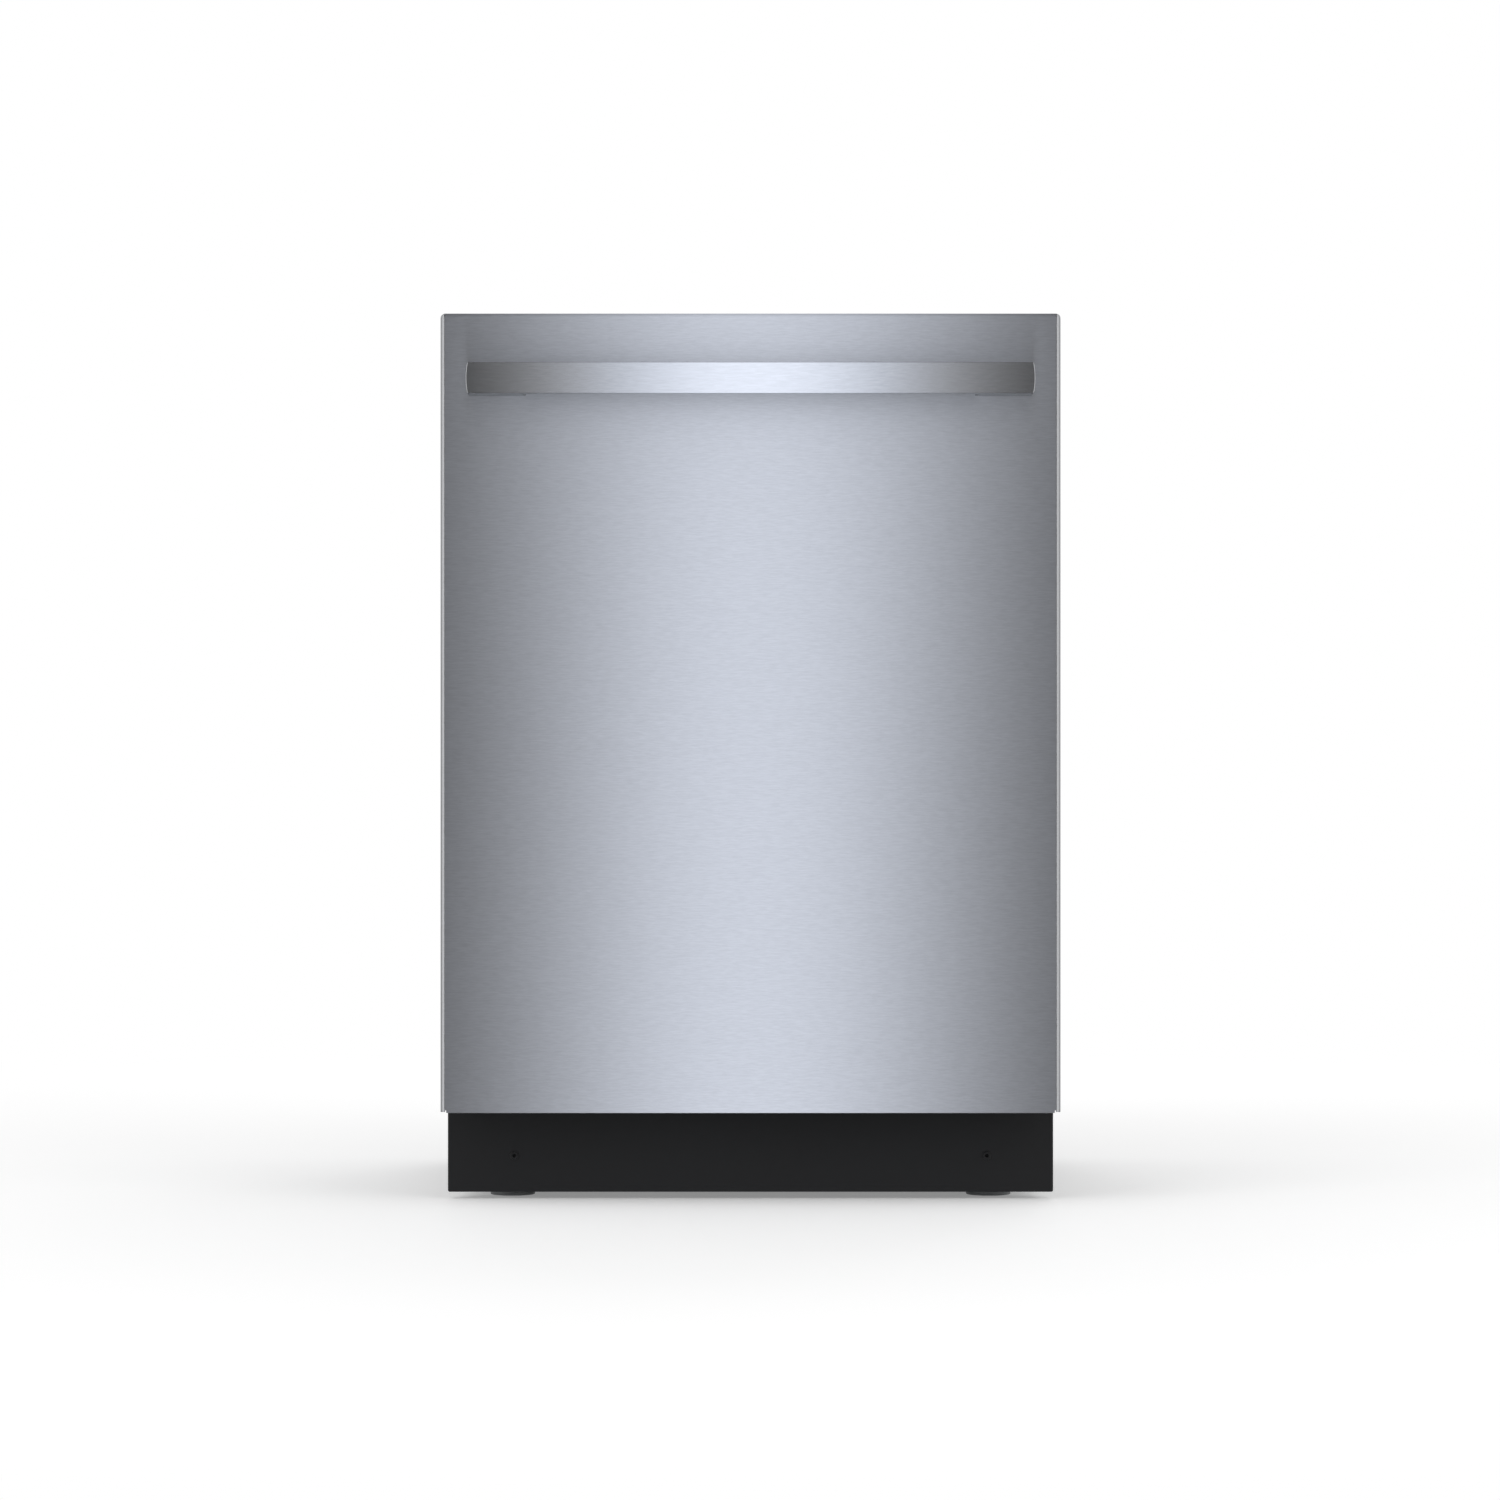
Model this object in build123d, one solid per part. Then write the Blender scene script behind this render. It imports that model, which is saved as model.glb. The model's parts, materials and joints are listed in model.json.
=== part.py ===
from build123d import *
import os
from math import cos, hypot, radians

# Built-in dishwasher. Millimetres; X runs to the right, Y to the back, Z up; the floor is z = 0.

# Overall sizes
door_width = 598.0
machine_height = 860.0
machine_depth = 603.0
handle_reach = 42.0
door_bottom = 89.0
body_inset = 3.0

# Sheets, walls and gaps
sheet = 1.0
tub_sheet = 1.5
moulding = 3.0
seat_gap = 0.2
slide_gap = 0.4
pin_gap = 0.05
cut_over = 1.0

# Door
door_thickness = 36.5
skin_bend = 4.5
skin_bottom_bend = 1.5
skin_lip = 6.0
skin_top_flange = 10.0
skin_bottom_flange = 8.0
relief_width = 1.2
relief_height = 2.6
liner_margin = 61.0
panel_height = 52.0
plug_depth = 35.0
plug_side_room = 16.0
plug_foot_room = 22.0
plug_head_room = 28.0
plug_bend = 14.0
plug_draft = 5.0
pad_thickness = 15.0
pad_side_room = 21.0
pad_head_room = 115.0
pad_rise = 71.0

# Hinge
hinge_setback = 22.0
hinge_rise = 42.0
hinge_pin_radius = 6.0
hinge_boss_radius = 12.0
hinge_plate = 3.0
hinge_arm_height = 199.0
swing_gap = 3.0
bracket_reach = 80.0

# Handle
handle_inset = 26.5
handle_height = 30.0
handle_drop = 65.0
bar_thickness = 12.0
bar_bow = 2.0
bar_edge = 2.5
bar_end_bulge = 1.5
post_width = 55.0
post_lean = 5.0
handle_screw_radius = 2.5
handle_screw_head = 4.5
handle_screw_depth = 18.0

# Controls
panel_drop = 1.6
panel_wall = 2.5
button_width = 24.0
button_depth = 11.0
button_stand = 1.1
button_lip = 1.5
button_lip_depth = 2.0
button_margin = 66.8
button_pitch = 75.0
button_names = ("power", "program", "option", "start")
display_width = 130.0
display_depth = 15.0
display_thickness = 1.6
board_drop = 14.0
board_thickness = 1.6
switch_size = 6.0
latch_half = 24.0
latch_height = 30.0
latch_wall = 3.0
striker_half = 7.0
striker_reach = 16.0
striker_thickness = 4.0
striker_rise = 6.0
striker_side_room = 1.6
striker_height_room = 3.2

# Detergent dispenser
dispenser_x = -60.0
dispenser_drop = 370.0
dispenser_half = 78.0
dispenser_half_height = 76.0
dispenser_rim = 6.0
dispenser_plate = 2.0
dispenser_depth = 28.0
cup_width = 80.0
cup_height = 56.0
cup_depth = 22.0
cover_margin = 6.0
cover_thickness = 3.0
guide_width = 5.0
cap_radius = 16.0
cap_thickness = 4.0
cap_offset = 53.0

# Base and feet
base_bottom = 28.0
base_top = 150.0
base_side_wall = 18.0
base_inset = 8.4
base_corner = 10.0
base_rib_depth = 14.0
base_rib_count = 4
base_window_rise = 20.0
spring_radius = 7.0
spring_length = 300.0
spring_channel = 15.0
spring_room = 2.5
spring_rise = 64.0
foot_pad_radius = 22.0
foot_pad_height = 9.0
foot_neck_height = 17.0
foot_neck_radius = 9.0
foot_stem_radius = 5.0
foot_stem_top = 75.0
foot_boss_radius = 13.0
foot_boss_height = 40.0
foot_side_inset = 52.6
foot_inset = 46.0

# Kick plate
kick_bottom = 7.0
kick_top_drop = 15.0
kick_fold = 12.0
kick_sheet = 1.2
kick_corner = 2.0
kick_screw_margin = 65.0
kick_screw_z = 42.4
kick_screw_radius = 2.0
kick_screw_head = 4.4
kick_screw_head_height = 1.6
kick_screw_length = 18.0

# Tub
tub_side_room = 18.0
tub_bend = 18.0
tub_rise = 20.0
tub_head_room = 32.0
ledge_rise = 13.0
ledge_width = 17.0
tub_flange = 12.0
tub_flange_rise = 24.0
rear_space = 26.5
gasket_width = 9.0
gasket_depth = 5.3
gasket_edge = 2.0
panel_sheet = 1.0
panel_rib = 2.5
panel_rib_width = 40.0
panel_rib_count = 3
panel_rib_slope = 45.0
wrap_thickness = 8.0
rear_pad = 12.0
counter_bracket_margin = 88.0
counter_bracket_width = 30.0
counter_bracket_depth = 42.0
counter_bracket_hole = 2.75

# Sump, pumps and water parts
sump_radius = 78.0
sump_depth = 78.0
sump_flange = 12.0
spindle_radius = 9.0
spindle_stand = 2.0
filter_plate_thickness = 3.0
filter_slot = 4.0
filter_slot_pitch = 11.0
filter_slot_count = 4
cup_x = 44.0
cup_y_offset = -26.0
cup_filter_radius = 20.0
cup_filter_stand = 18.0
cup_filter_depth = 52.0
pump_radius = 44.0
pump_length = 120.0
pump_dome = 14.0
volute_radius = 50.0
volute_length = 34.0
pump_drop = 72.0
drain_radius = 24.0
drain_length = 70.0
port_margin = 62.6
valve_width = 44.0
valve_height = 52.0
valve_depth = 46.0
valve_rise = 34.0
inlet_radius = 13.2
spigot_collar = 2.5
outlet_radius = 10.5
outlet_bore = 8.0
outlet_rise = 82.0
duct_half = 24.0
duct_depth = 13.0
duct_edge = 4.0
sprayer_radius = 46.0
sprayer_height = 12.0
sprayer_drop = 6.0
box_width = 110.0
box_depth = 60.0
box_height = 56.0
box_margin = 137.6
cable_margin = 187.6
cable_radius = 11.0

# Racks
wire = 4.0
wire_bend = 12.0
weld_gap = 0.02
rack_front_room = 31.0
rack_rear_room = 26.0
lower_side_room = 22.0
lower_rise = 54.0
lower_depth = 172.0
lower_mid_rise = 96.0
lower_cross_count = 10
lower_long_count = 11
wheel_radius = 17.0
wheel_width = 8.0
wheel_hole = 4.0
wheel_lift = 0.3
wheel_front_index = 4
wheel_rear_index = 8
wheel_bracket = 3.0
wheel_bracket_half = 14.0
tine_wire = 3.2
tine_height = 78.0
tine_count = 9
tine_front_room = 68.0
tine_rear_room = 40.0
tine_left_index = 3
tine_right_index = 5
basket_side_room = 20.0
basket_width = 144.0
basket_front_room = 18.0
basket_depth = 90.0
basket_rise = 136.0
basket_grip = 52.0
basket_grip_margin = 22.0
basket_wall = 2.0
basket_cells = 3
basket_slot = 9.0
basket_slot_count = 7
upper_side_room = 38.0
upper_rise = 308.0
upper_depth = 124.0
upper_cross_count = 10
upper_long_count = 9
upper_tine_count = 8
upper_tine_height = 60.0
upper_tine_index = 2
hanger_wall = 4.0
hanger_length = 195.0
hanger_rear_room = 25.0
rail_rise = 88.0
rail_web = 8.0
rail_head = 26.0
rail_head_width = 7.0
rail_lead = 12.0
rail_rear_room = 2.0
track_wall = 1.6
track_lead = 22.0
third_side_room = 32.0
third_drop = 76.0
third_depth = 34.0
third_cross_count = 8
third_long_count = 13
runner_height = 8.0
runner_width = 14.0

# Spray arms
arm_room = 20.5
arm_step = 20.0
lower_arm_rise = 28.0
middle_arm_drop = 32.0
arm_thickness = 12.0
arm_root_half = 30.0
arm_tip_half = 17.0
arm_hub_radius = 34.0
arm_slot_count = 5
arm_slot_length = 9.0
arm_slot_width = 3.0
arm_slot_turn = 30.0
arm_bulge = 6.0
arm_edge = 3.0
arm_edge_slope = 40.0
feed_half = 16.0
feed_height = 14.0

# Places that follow from the sizes above
back = (machine_depth + handle_reach) / 2
front = back - machine_depth
door_half = door_width / 2
body_half = door_half - body_inset
base_half = body_half - base_inset
tub_half = body_half - tub_side_room
kick_half = body_half
tub_floor_z = base_top + tub_rise
tub_top_z = machine_height - tub_head_room
ledge_z = tub_floor_z + ledge_rise
hinge_y = front + hinge_setback
hinge_z = door_bottom + hinge_rise
hinge_arm_top = hinge_z + hinge_arm_height
liner_y = front + door_thickness
plug_y = liner_y + plug_depth
skin_rear = liner_y - sheet - seat_gap
liner_half = door_half - sheet - seat_gap
liner_flange_top = machine_height - panel_height
plug_half = tub_half - plug_side_room
plug_bottom = tub_floor_z + plug_foot_room
plug_top = tub_top_z - plug_head_room
pad_half = door_half - pad_side_room
swing_radius = hypot(hinge_setback, hinge_rise)
kick_y = hinge_y + swing_radius + swing_gap
kick_top = hinge_z - kick_top_drop
kick_screw_x = kick_half - kick_screw_margin
base_front = kick_y + kick_fold
tub_back_y = back - rear_space
base_rear = tub_back_y + tub_sheet
tub_front = liner_y + gasket_depth + slide_gap
panel_top = machine_height - panel_drop
panel_bottom = liner_flange_top + seat_gap
panel_front = front + sheet + seat_gap
panel_half = door_half - sheet - skin_lip - seat_gap
button_end = panel_half - button_margin
button_places = (-button_end, button_pitch - button_end, button_end - button_pitch, button_end)
dispenser_z = plug_top - dispenser_drop
handle_half = door_half - handle_inset
handle_z = machine_height - handle_drop
bar_back = front - handle_reach + bar_bow + bar_thickness
counter_bracket_x = tub_half - counter_bracket_margin
foot_x = base_half - foot_side_inset
spring_z = base_bottom + spring_rise
arm_y = (plug_y + tub_back_y + sheet) / 2
sump_bottom = tub_floor_z - sump_depth
pump_z = tub_floor_z - pump_drop
outlet_x = base_half - port_margin
valve_x = -outlet_x
valve_z = base_bottom + valve_rise
outlet_z = base_bottom + outlet_rise
box_x = box_margin - base_half
cable_x = cable_margin - base_half
rack_front = plug_y + rack_front_room
rack_back = tub_back_y - rack_rear_room
lower_half = tub_half - lower_side_room
lower_floor = tub_floor_z + lower_rise
lower_top = lower_floor + lower_depth
lower_mid = lower_floor + lower_mid_rise
axle_z = ledge_z + wheel_lift + wheel_radius
tine_front = rack_front + tine_front_room
tine_back = rack_back - tine_rear_room
basket_x1 = lower_half - basket_side_room
basket_x0 = basket_x1 - basket_width
basket_y0 = rack_front + basket_front_room
basket_y1 = basket_y0 + basket_depth
basket_top = lower_floor + basket_rise
upper_half = tub_half - upper_side_room
upper_floor = tub_floor_z + upper_rise
upper_top = upper_floor + upper_depth
rail_z = upper_floor + rail_rise
hanger_back = rack_back - hanger_rear_room
hanger_front = hanger_back - hanger_length
rail_front = rack_front - rail_lead
rail_back = rack_back - rail_rear_room
track_front = rack_front - track_lead
third_half = tub_half - third_side_room
third_floor = tub_top_z - third_drop
third_top = third_floor + third_depth
lower_arm_z = tub_floor_z + lower_arm_rise
lower_arm_radius = (tub_back_y - plug_y) / 2 - arm_room
middle_arm_z = upper_floor - middle_arm_drop
middle_arm_radius = lower_arm_radius - arm_step
spindle_top = lower_arm_z + arm_thickness + spindle_stand


def block(x0, x1, y0, y1, z0, z1):
    return Pos((x0 + x1) / 2, (y0 + y1) / 2, (z0 + z1) / 2) * Box(x1 - x0, y1 - y0, z1 - z0)


def rod_z(x, y, z0, z1, radius):
    return Pos(x, y, (z0 + z1) / 2) * Cylinder(radius, z1 - z0)


def rod_y(x, z, y0, y1, radius):
    return Pos(x, (y0 + y1) / 2, z) * Rot(90, 0, 0) * Cylinder(radius, y1 - y0)


def rod_x(y, z, x0, x1, radius):
    return Pos((x0 + x1) / 2, y, z) * Rot(0, 90, 0) * Cylinder(radius, x1 - x0)


# A six-sided bar, for hidden screws, their holes and moulded bosses; radius is to the flats.
def hex_y(x, z, y0, y1, radius):
    place = Plane(origin=(x, y0, z), x_dir=(1, 0, 0), z_dir=(0, 1, 0))
    return extrude(place * RegularPolygon(radius, 6, major_radius=False), y1 - y0)


def hex_z(x, y, z0, z1, radius):
    return Pos(x, y, z0) * extrude(RegularPolygon(radius, 6, major_radius=False), z1 - z0)


# A section drawn in Y and Z and carried along X, and one drawn in X and Z and carried along Y.
def along_x(points, x0, x1):
    return extrude(make_face(Polyline(*[(x0, y, z) for y, z in points], close=True)), x1 - x0,
        dir=(1, 0, 0))


def along_y(points, y0, y1):
    return extrude(make_face(Polyline(*[(x, y0, z) for x, z in points], close=True)), y1 - y0,
        dir=(0, 1, 0))


# A profile of radius and height turned round an upright axis.
def turned(x, y, profile):
    return Pos(x, y, 0) * revolve(Plane.XZ * make_face(Polyline(*profile, close=True)), Axis.Z)


# A rounded panel standing square to Y.
def rounded_plate(x, z, half, tall, y0, y1, corner):
    place = Plane(origin=(x, y0, z), x_dir=(1, 0, 0), z_dir=(0, 1, 0))
    return extrude(place * RectangleRounded(2 * half, 2 * tall, corner), y1 - y0)


def left_of(shape):
    return mirror(shape, about=Plane.YZ)


# A run of wire with six flat sides along a bent line; side is a direction square to its first length.
def bent_wire(points, size, side, closed=False):
    path = Polyline(*points, close=closed)
    start = Plane(origin=path @ 0, x_dir=side, z_dir=path % 0)
    section = start * RegularPolygon(size / 2, 6, major_radius=False)
    return sweep(section, path=path, transition=Transition.RIGHT).solid()


# A U of wire in the YZ plane or the XZ plane, with cut bends at its two lower corners.
def u_wire(along, place, low, high, floor, top, size):
    cut = wire_bend
    flat = ((low, top), (low, floor + cut), (low + cut, floor), (high - cut, floor), (high, floor + cut),
        (high, top))
    if along == "y":
        return bent_wire([(place, a, z) for a, z in flat], size, (1, 0, 0))
    return bent_wire([(a, place, z) for a, z in flat], size, (0, 1, 0))


# A level loop of wire with cut corners.
def loop_wire(half, y0, y1, z, size):
    cut = wire_bend
    points = [
        (0, y0, z), (half - cut, y0, z), (half, y0 + cut, z), (half, y1 - cut, z), (half - cut, y1, z),
        (cut - half, y1, z), (-half, y1 - cut, z), (-half, y0 + cut, z), (cut - half, y0, z),
    ]
    return bent_wire(points, size, (0, 0, 1), closed=True)


def spread(first, last, count):
    step = (last - first) / (count - 1)
    return [first + step * i for i in range(count)]


def cross_places(count):
    return spread(rack_front + wire_bend + wire, rack_back - wire_bend - wire, count)


def long_places(half, count):
    return spread(wire_bend + wire - half, half - wire_bend - wire, count)


# A basket of crossing wires: cross wires below, lengthwise wires on them, a rim on all the ends.
def wire_basket(half, floor, top, cross_count, long_count):
    legs = top - wire / 2 - weld_gap
    across = [u_wire("x", y, -half, half, floor, legs, wire) for y in cross_places(cross_count)]
    upper = floor + wire + weld_gap
    along = [u_wire("y", x, rack_front, rack_back, upper, legs,
        wire) for x in long_places(half, long_count)]
    rim = loop_wire(half, rack_front, rack_back, top, wire)
    return across + along + [rim]


def upright_tines(x, foot, height, count):
    places = spread(tine_front, tine_back, count)
    return [bent_wire([(x, y, foot), (x, y, foot + height)], tine_wire, (1, 0, 0)) for y in places]


# Door skin: a folded pan, open to the back, with side lips and relief cuts at its lower corners.
def door_skin():
    outer = block(-door_half, door_half, front, skin_rear, door_bottom, machine_height)
    face = outer.faces().sort_by(Axis.Y)[0]
    bends = face.edges().sort_by(Axis.Z)[1:] + outer.edges().filter_by(Axis.Y).group_by(Axis.Z)[-1]
    outer = fillet(bends, skin_bend)
    lower = outer.edges().filter_by(Axis.X).group_by(Axis.Z)[0].sort_by(Axis.Y)[0]
    outer = fillet(lower, skin_bottom_bend)
    inside = door_half - sheet
    inner = block(-inside, inside, front + sheet, skin_rear - sheet, door_bottom + sheet,
        machine_height - sheet)
    inner_face = inner.faces().sort_by(Axis.Y)[0]
    inner_bends = inner_face.edges().sort_by(Axis.Z)[1:]
    inner_bends += inner.edges().filter_by(Axis.Y).group_by(Axis.Z)[-1]
    pan = outer - fillet(inner_bends, skin_bend - sheet)
    lip = inside - skin_lip
    pan -= block(-lip, lip, skin_rear - 2 * sheet, back, 0, machine_height + sheet)
    pan -= block(-lip, lip, front + skin_top_flange, back, machine_height - 2 * sheet,
        machine_height + sheet)
    pan -= block(-door_width, door_width, front + skin_bottom_flange, back, 0, door_bottom + 2 * sheet)
    notch = door_half - skin_bend
    corner = block(notch - relief_width, notch, front - sheet, back, 0, door_bottom + relief_height)
    corner += block(notch, door_width, front - sheet, back, 0, door_bottom + sheet)
    hole = hex_y(handle_half - post_width / 2, handle_z, front - sheet, front + 2 * sheet,
        handle_screw_radius)
    return pan - corner - left_of(corner) - hole - left_of(hole)


# Door liner: a flange with a deep-drawn plug, its walls drafted, that stands into the tub mouth.
def door_liner():
    flange = block(-liner_half, liner_half, liner_y - sheet, liner_y, door_bottom + liner_margin,
        liner_flange_top)
    half = dispenser_half + seat_gap
    tall = dispenser_half_height + seat_gap
    hole = block(
        dispenser_x - half, dispenser_x + half, plug_y - plug_bend, back, dispenser_z - tall,
        dispenser_z + tall
    )
    shell = flange + drawn_plug(0, liner_y - sheet, plug_y)
    return shell - drawn_plug(sheet, liner_y - sheet, plug_y - sheet) - hole


def drawn_plug(inset, y0, y1):
    place = Plane(origin=(0, y0, (plug_top + plug_bottom) / 2), x_dir=(1, 0, 0), z_dir=(0, 1, 0))
    width = 2 * (plug_half - inset)
    height = plug_top - plug_bottom - 2 * inset
    return extrude(place * RectangleRounded(width, height, plug_bend - inset), y1 - y0, taper=plug_draft)


def door_insulation():
    y0 = front + sheet + seat_gap
    low = door_bottom + pad_rise
    return block(-pad_half, pad_half, y0, y0 + pad_thickness, low, machine_height - pad_head_room)


# Seal strip along the foot of the liner plug, with a lip down to the tub floor.
def bottom_seal():
    half = tub_half - ledge_width - 4 * sheet
    y0 = liner_y + seat_gap
    y1 = plug_y - plug_bend
    top = plug_bottom - seat_gap
    low = tub_floor_z + slide_gap
    section = (
        (y0, top), (y0, top - 2 * sheet), (y1 - 2 * sheet, top - 2 * sheet), (y1 - sheet, low), (y1, low),
        (y1, top),
    )
    return along_x(section, -half, half)


# Handle bar: bowed outwards a little, with soft edges to the front.
def handle_bar():
    z0 = handle_z - handle_height / 2
    ends = front - handle_reach + bar_bow
    outline = [
        Line((-handle_half, bar_back), (-handle_half, ends)),
        ThreePointArc((-handle_half, ends), (0, front - handle_reach), (handle_half, ends)),
        Line((handle_half, ends), (handle_half, bar_back)),
        Line((handle_half, bar_back), (-handle_half, bar_back)),
    ]
    bar = Pos(0, 0, z0) * extrude(make_face(outline), handle_height) & handle_elevation()
    edges = bar.edges().filter_by(lambda e: (e @ 0.5).Y < bar_back - bar_thickness / 2)
    return fillet(edges, bar_edge)


# The handle seen from the front: straight above and below, with ends that bulge outwards.
def handle_elevation():
    x = handle_half - bar_end_bulge
    low = handle_z - handle_height / 2
    high = handle_z + handle_height / 2
    sides = [
        Line((-x, low), (x, low)),
        ThreePointArc((x, low), (handle_half, handle_z), (x, high)),
        Line((x, high), (-x, high)),
        ThreePointArc((-x, high), (-handle_half, handle_z), (-x, low)),
    ]
    place = Plane(origin=(0, front, 0), x_dir=(1, 0, 0), z_dir=(0, -1, 0))
    return extrude(place * make_face(sides), handle_reach)


# Handle posts: each leans inwards at the back, so that the finger room has a slanted end.
def handle_posts():
    z0 = handle_z - handle_height / 2
    x0 = handle_half - post_width
    outline = Polyline((x0 + post_lean, bar_back), (handle_half, bar_back), (handle_half, front),
        (x0, front), close=True)
    post = Pos(0, 0, z0) * extrude(make_face(outline), handle_height) & handle_elevation()
    x = handle_half - post_width / 2
    post -= hex_y(x, handle_z, front - handle_screw_depth, back, handle_screw_radius)
    return Compound([post, left_of(post)])


def handle_screws():
    x = handle_half - post_width / 2
    inner = front + sheet
    screw = hex_y(x, handle_z, front - handle_screw_depth + seat_gap, inner, handle_screw_radius - pin_gap)
    screw += hex_y(x, handle_z, inner, inner + handle_screw_head, handle_screw_head)
    return Compound([screw, left_of(screw)])


# Control panel: a cap along the door top with openings for the buttons and a sunk display.
def control_panel():
    shell = block(-panel_half, panel_half, panel_front, liner_y, panel_bottom, panel_top)
    shell = chamfer(shell.faces().sort_by(Axis.Z)[-1].edges().sort_by(Axis.Y)[0], skin_bend)
    shell -= block(
        panel_wall - panel_half, panel_half - panel_wall, panel_front + panel_wall, liner_y - panel_wall,
        0, panel_top - panel_wall,
    )
    y = control_y()
    for x in button_places:
        half = button_width / 2 + slide_gap
        deep = button_depth / 2 + slide_gap
        shell -= block(x - half, x + half, y - deep, y + deep, panel_top - 2 * panel_wall, machine_height)
    half = display_width / 2
    deep = display_depth / 2
    shell -= block(-half, half, y - deep, y + deep, panel_top - display_thickness, machine_height)
    z = striker_z()
    wide = striker_half + striker_side_room + slide_gap
    tall = striker_thickness / 2 + striker_height_room + slide_gap
    return shell - block(-wide, wide, liner_y - 2 * panel_wall, back, z - tall, z + tall)


# Middle of the strip of panel that shows behind the folded top edge.
def control_y():
    return (front + skin_top_flange + liner_y) / 2


def striker_z():
    return tub_top_z + gasket_width + striker_rise


def display_window():
    half = display_width / 2 - seat_gap
    deep = display_depth / 2 - seat_gap
    y = control_y()
    return block(-half, half, y - deep, y + deep, panel_top - display_thickness, panel_top)


def push_button(x):
    y = control_y()
    half = button_width / 2
    deep = button_depth / 2
    low = panel_top - panel_wall - seat_gap
    cap = block(x - half, x + half, y - deep, y + deep, low - button_lip_depth, panel_top + button_stand)
    cap = chamfer(cap.faces().sort_by(Axis.Z)[-1].edges(), button_stand / 2)
    lip = button_lip
    return cap + block(x - half - lip, x + half + lip, y - deep - lip, y + deep + lip,
        low - button_lip_depth, low)


# Circuit board held between the panel walls, with a switch under each button.
def control_board():
    top = panel_top - board_drop
    y0 = panel_front + panel_wall + seat_gap
    y1 = liner_y - panel_wall - seat_gap
    end = button_end + button_width
    board = block(latch_half + 4 * seat_gap, end, y0, y1, top - board_thickness, top)
    y = control_y()
    half = switch_size / 2
    tall = panel_top - panel_wall - 2 * seat_gap - button_lip_depth - 2 * button_stand
    for x in button_places[2:]:
        board += block(x - half, x + half, y - half, y + half, top, tall)
    link = block(-end / 4, end / 4, y0, y0 + 2 * panel_wall, top - board_thickness, top)
    return board + left_of(board) + link


# Latch housing behind the panel, with a mouth for the striker.
def latch_housing():
    y0 = panel_front + panel_wall + 2 * panel_wall + 3 * seat_gap
    y1 = liner_y - panel_wall - seat_gap
    z1 = panel_top - panel_wall - seat_gap
    body = block(-latch_half, latch_half, y0, y1, z1 - latch_height, z1)
    body = chamfer(body.edges().filter_by(Axis.X).group_by(Axis.Z)[0], latch_wall)
    z = striker_z()
    wide = striker_half + striker_side_room
    tall = striker_thickness / 2 + striker_height_room
    return body - block(-wide, wide, y0 + latch_wall, back, z - tall, z + tall)


# Latch striker: a tongue with a slot for the catch, on a foot against the tub flange.
def latch_striker():
    z = striker_z()
    half = striker_half
    thick = striker_thickness
    y0 = tub_front - striker_reach
    tongue = block(-half, half, y0, tub_front - seat_gap, z - thick / 2, z + thick / 2)
    tongue = chamfer(tongue.edges().filter_by(Axis.Z).group_by(Axis.Y)[0], half / 2)
    tongue -= block(-half / 2, half / 2, y0 + thick, y0 + 2 * thick, z - thick, z + thick)
    foot = block(-2 * half, 2 * half, tub_front - seat_gap - tub_sheet, tub_front - seat_gap, z - thick,
        z + thick)
    return tongue + foot


# Hinge arm in the door: an upright plate that narrows upwards, with a boss round the pivot.
def hinge_arms():
    x1 = base_half + seat_gap - 2 * slide_gap
    x0 = x1 - hinge_plate
    y0 = hinge_y - hinge_boss_radius
    y1 = liner_y - sheet - seat_gap
    outline = ((y0, hinge_z), (y1, hinge_z), (y1, hinge_arm_top), (y1 - hinge_boss_radius, hinge_arm_top))
    arm = along_x(outline, x0, x1) + rod_x(hinge_y, hinge_z, x0, x1, hinge_boss_radius)
    arm -= rod_x(hinge_y, hinge_z, x0 - sheet, x1 + sheet, hinge_pin_radius + pin_gap)
    return Compound([arm, left_of(arm)])


# Hinge bracket on the base with the pivot pin that the arm turns on.
def hinge_brackets():
    x0 = base_half + seat_gap
    x1 = x0 + hinge_plate
    radius = hinge_boss_radius
    bracket = block(x0, x1, hinge_y, base_front + bracket_reach, hinge_z - radius, hinge_z + radius)
    bracket += rod_x(hinge_y, hinge_z, x0, x1, radius)
    bracket += rod_x(hinge_y, hinge_z, x0 - 2 * hinge_plate, x0, hinge_pin_radius)
    return Compound([bracket, left_of(bracket)])


# Dispenser body: a rounded plate on the liner, a cup sunk behind it and guides for the cover.
def dispenser_body():
    x = dispenser_x
    z = dispenser_z
    half = dispenser_half
    tall = dispenser_half_height
    face = plug_y + dispenser_plate
    body = block(x - half, x + half, face - dispenser_depth, plug_y, z - tall, z + tall)
    rim = dispenser_rim
    body += rounded_plate(x, z, half + rim, tall + rim, plug_y, face, 2 * rim)
    x0, x1, z0, z1 = cup_box()
    body -= block(x0, x1, face - cup_depth, back, z0, z1)
    low = z0 - cup_height - 2 * cover_margin
    lid = face + cover_thickness + 2 * slide_gap
    inner = cover_margin - 2 * sheet
    outer = cover_margin + slide_gap + guide_width
    room = cover_margin + slide_gap
    for foot, side in ((x0, -1), (x1, 1)):
        hook = ((room, plug_y), (outer, plug_y), (outer, lid + 2 * sheet), (inner, lid + 2 * sheet),
            (inner, lid), (room, lid))
        points = [(foot + side * a, b, low) for a, b in hook]
        body += extrude(make_face(Polyline(*points, close=True)), z1 + cover_margin - low, dir=(0, 0, 1))
    return body


def cup_box():
    x0 = dispenser_x - dispenser_half + 3 * cover_margin
    z1 = dispenser_z + dispenser_half_height - 2 * cover_margin
    return x0, x0 + cup_width, z1 - cup_height, z1


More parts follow.
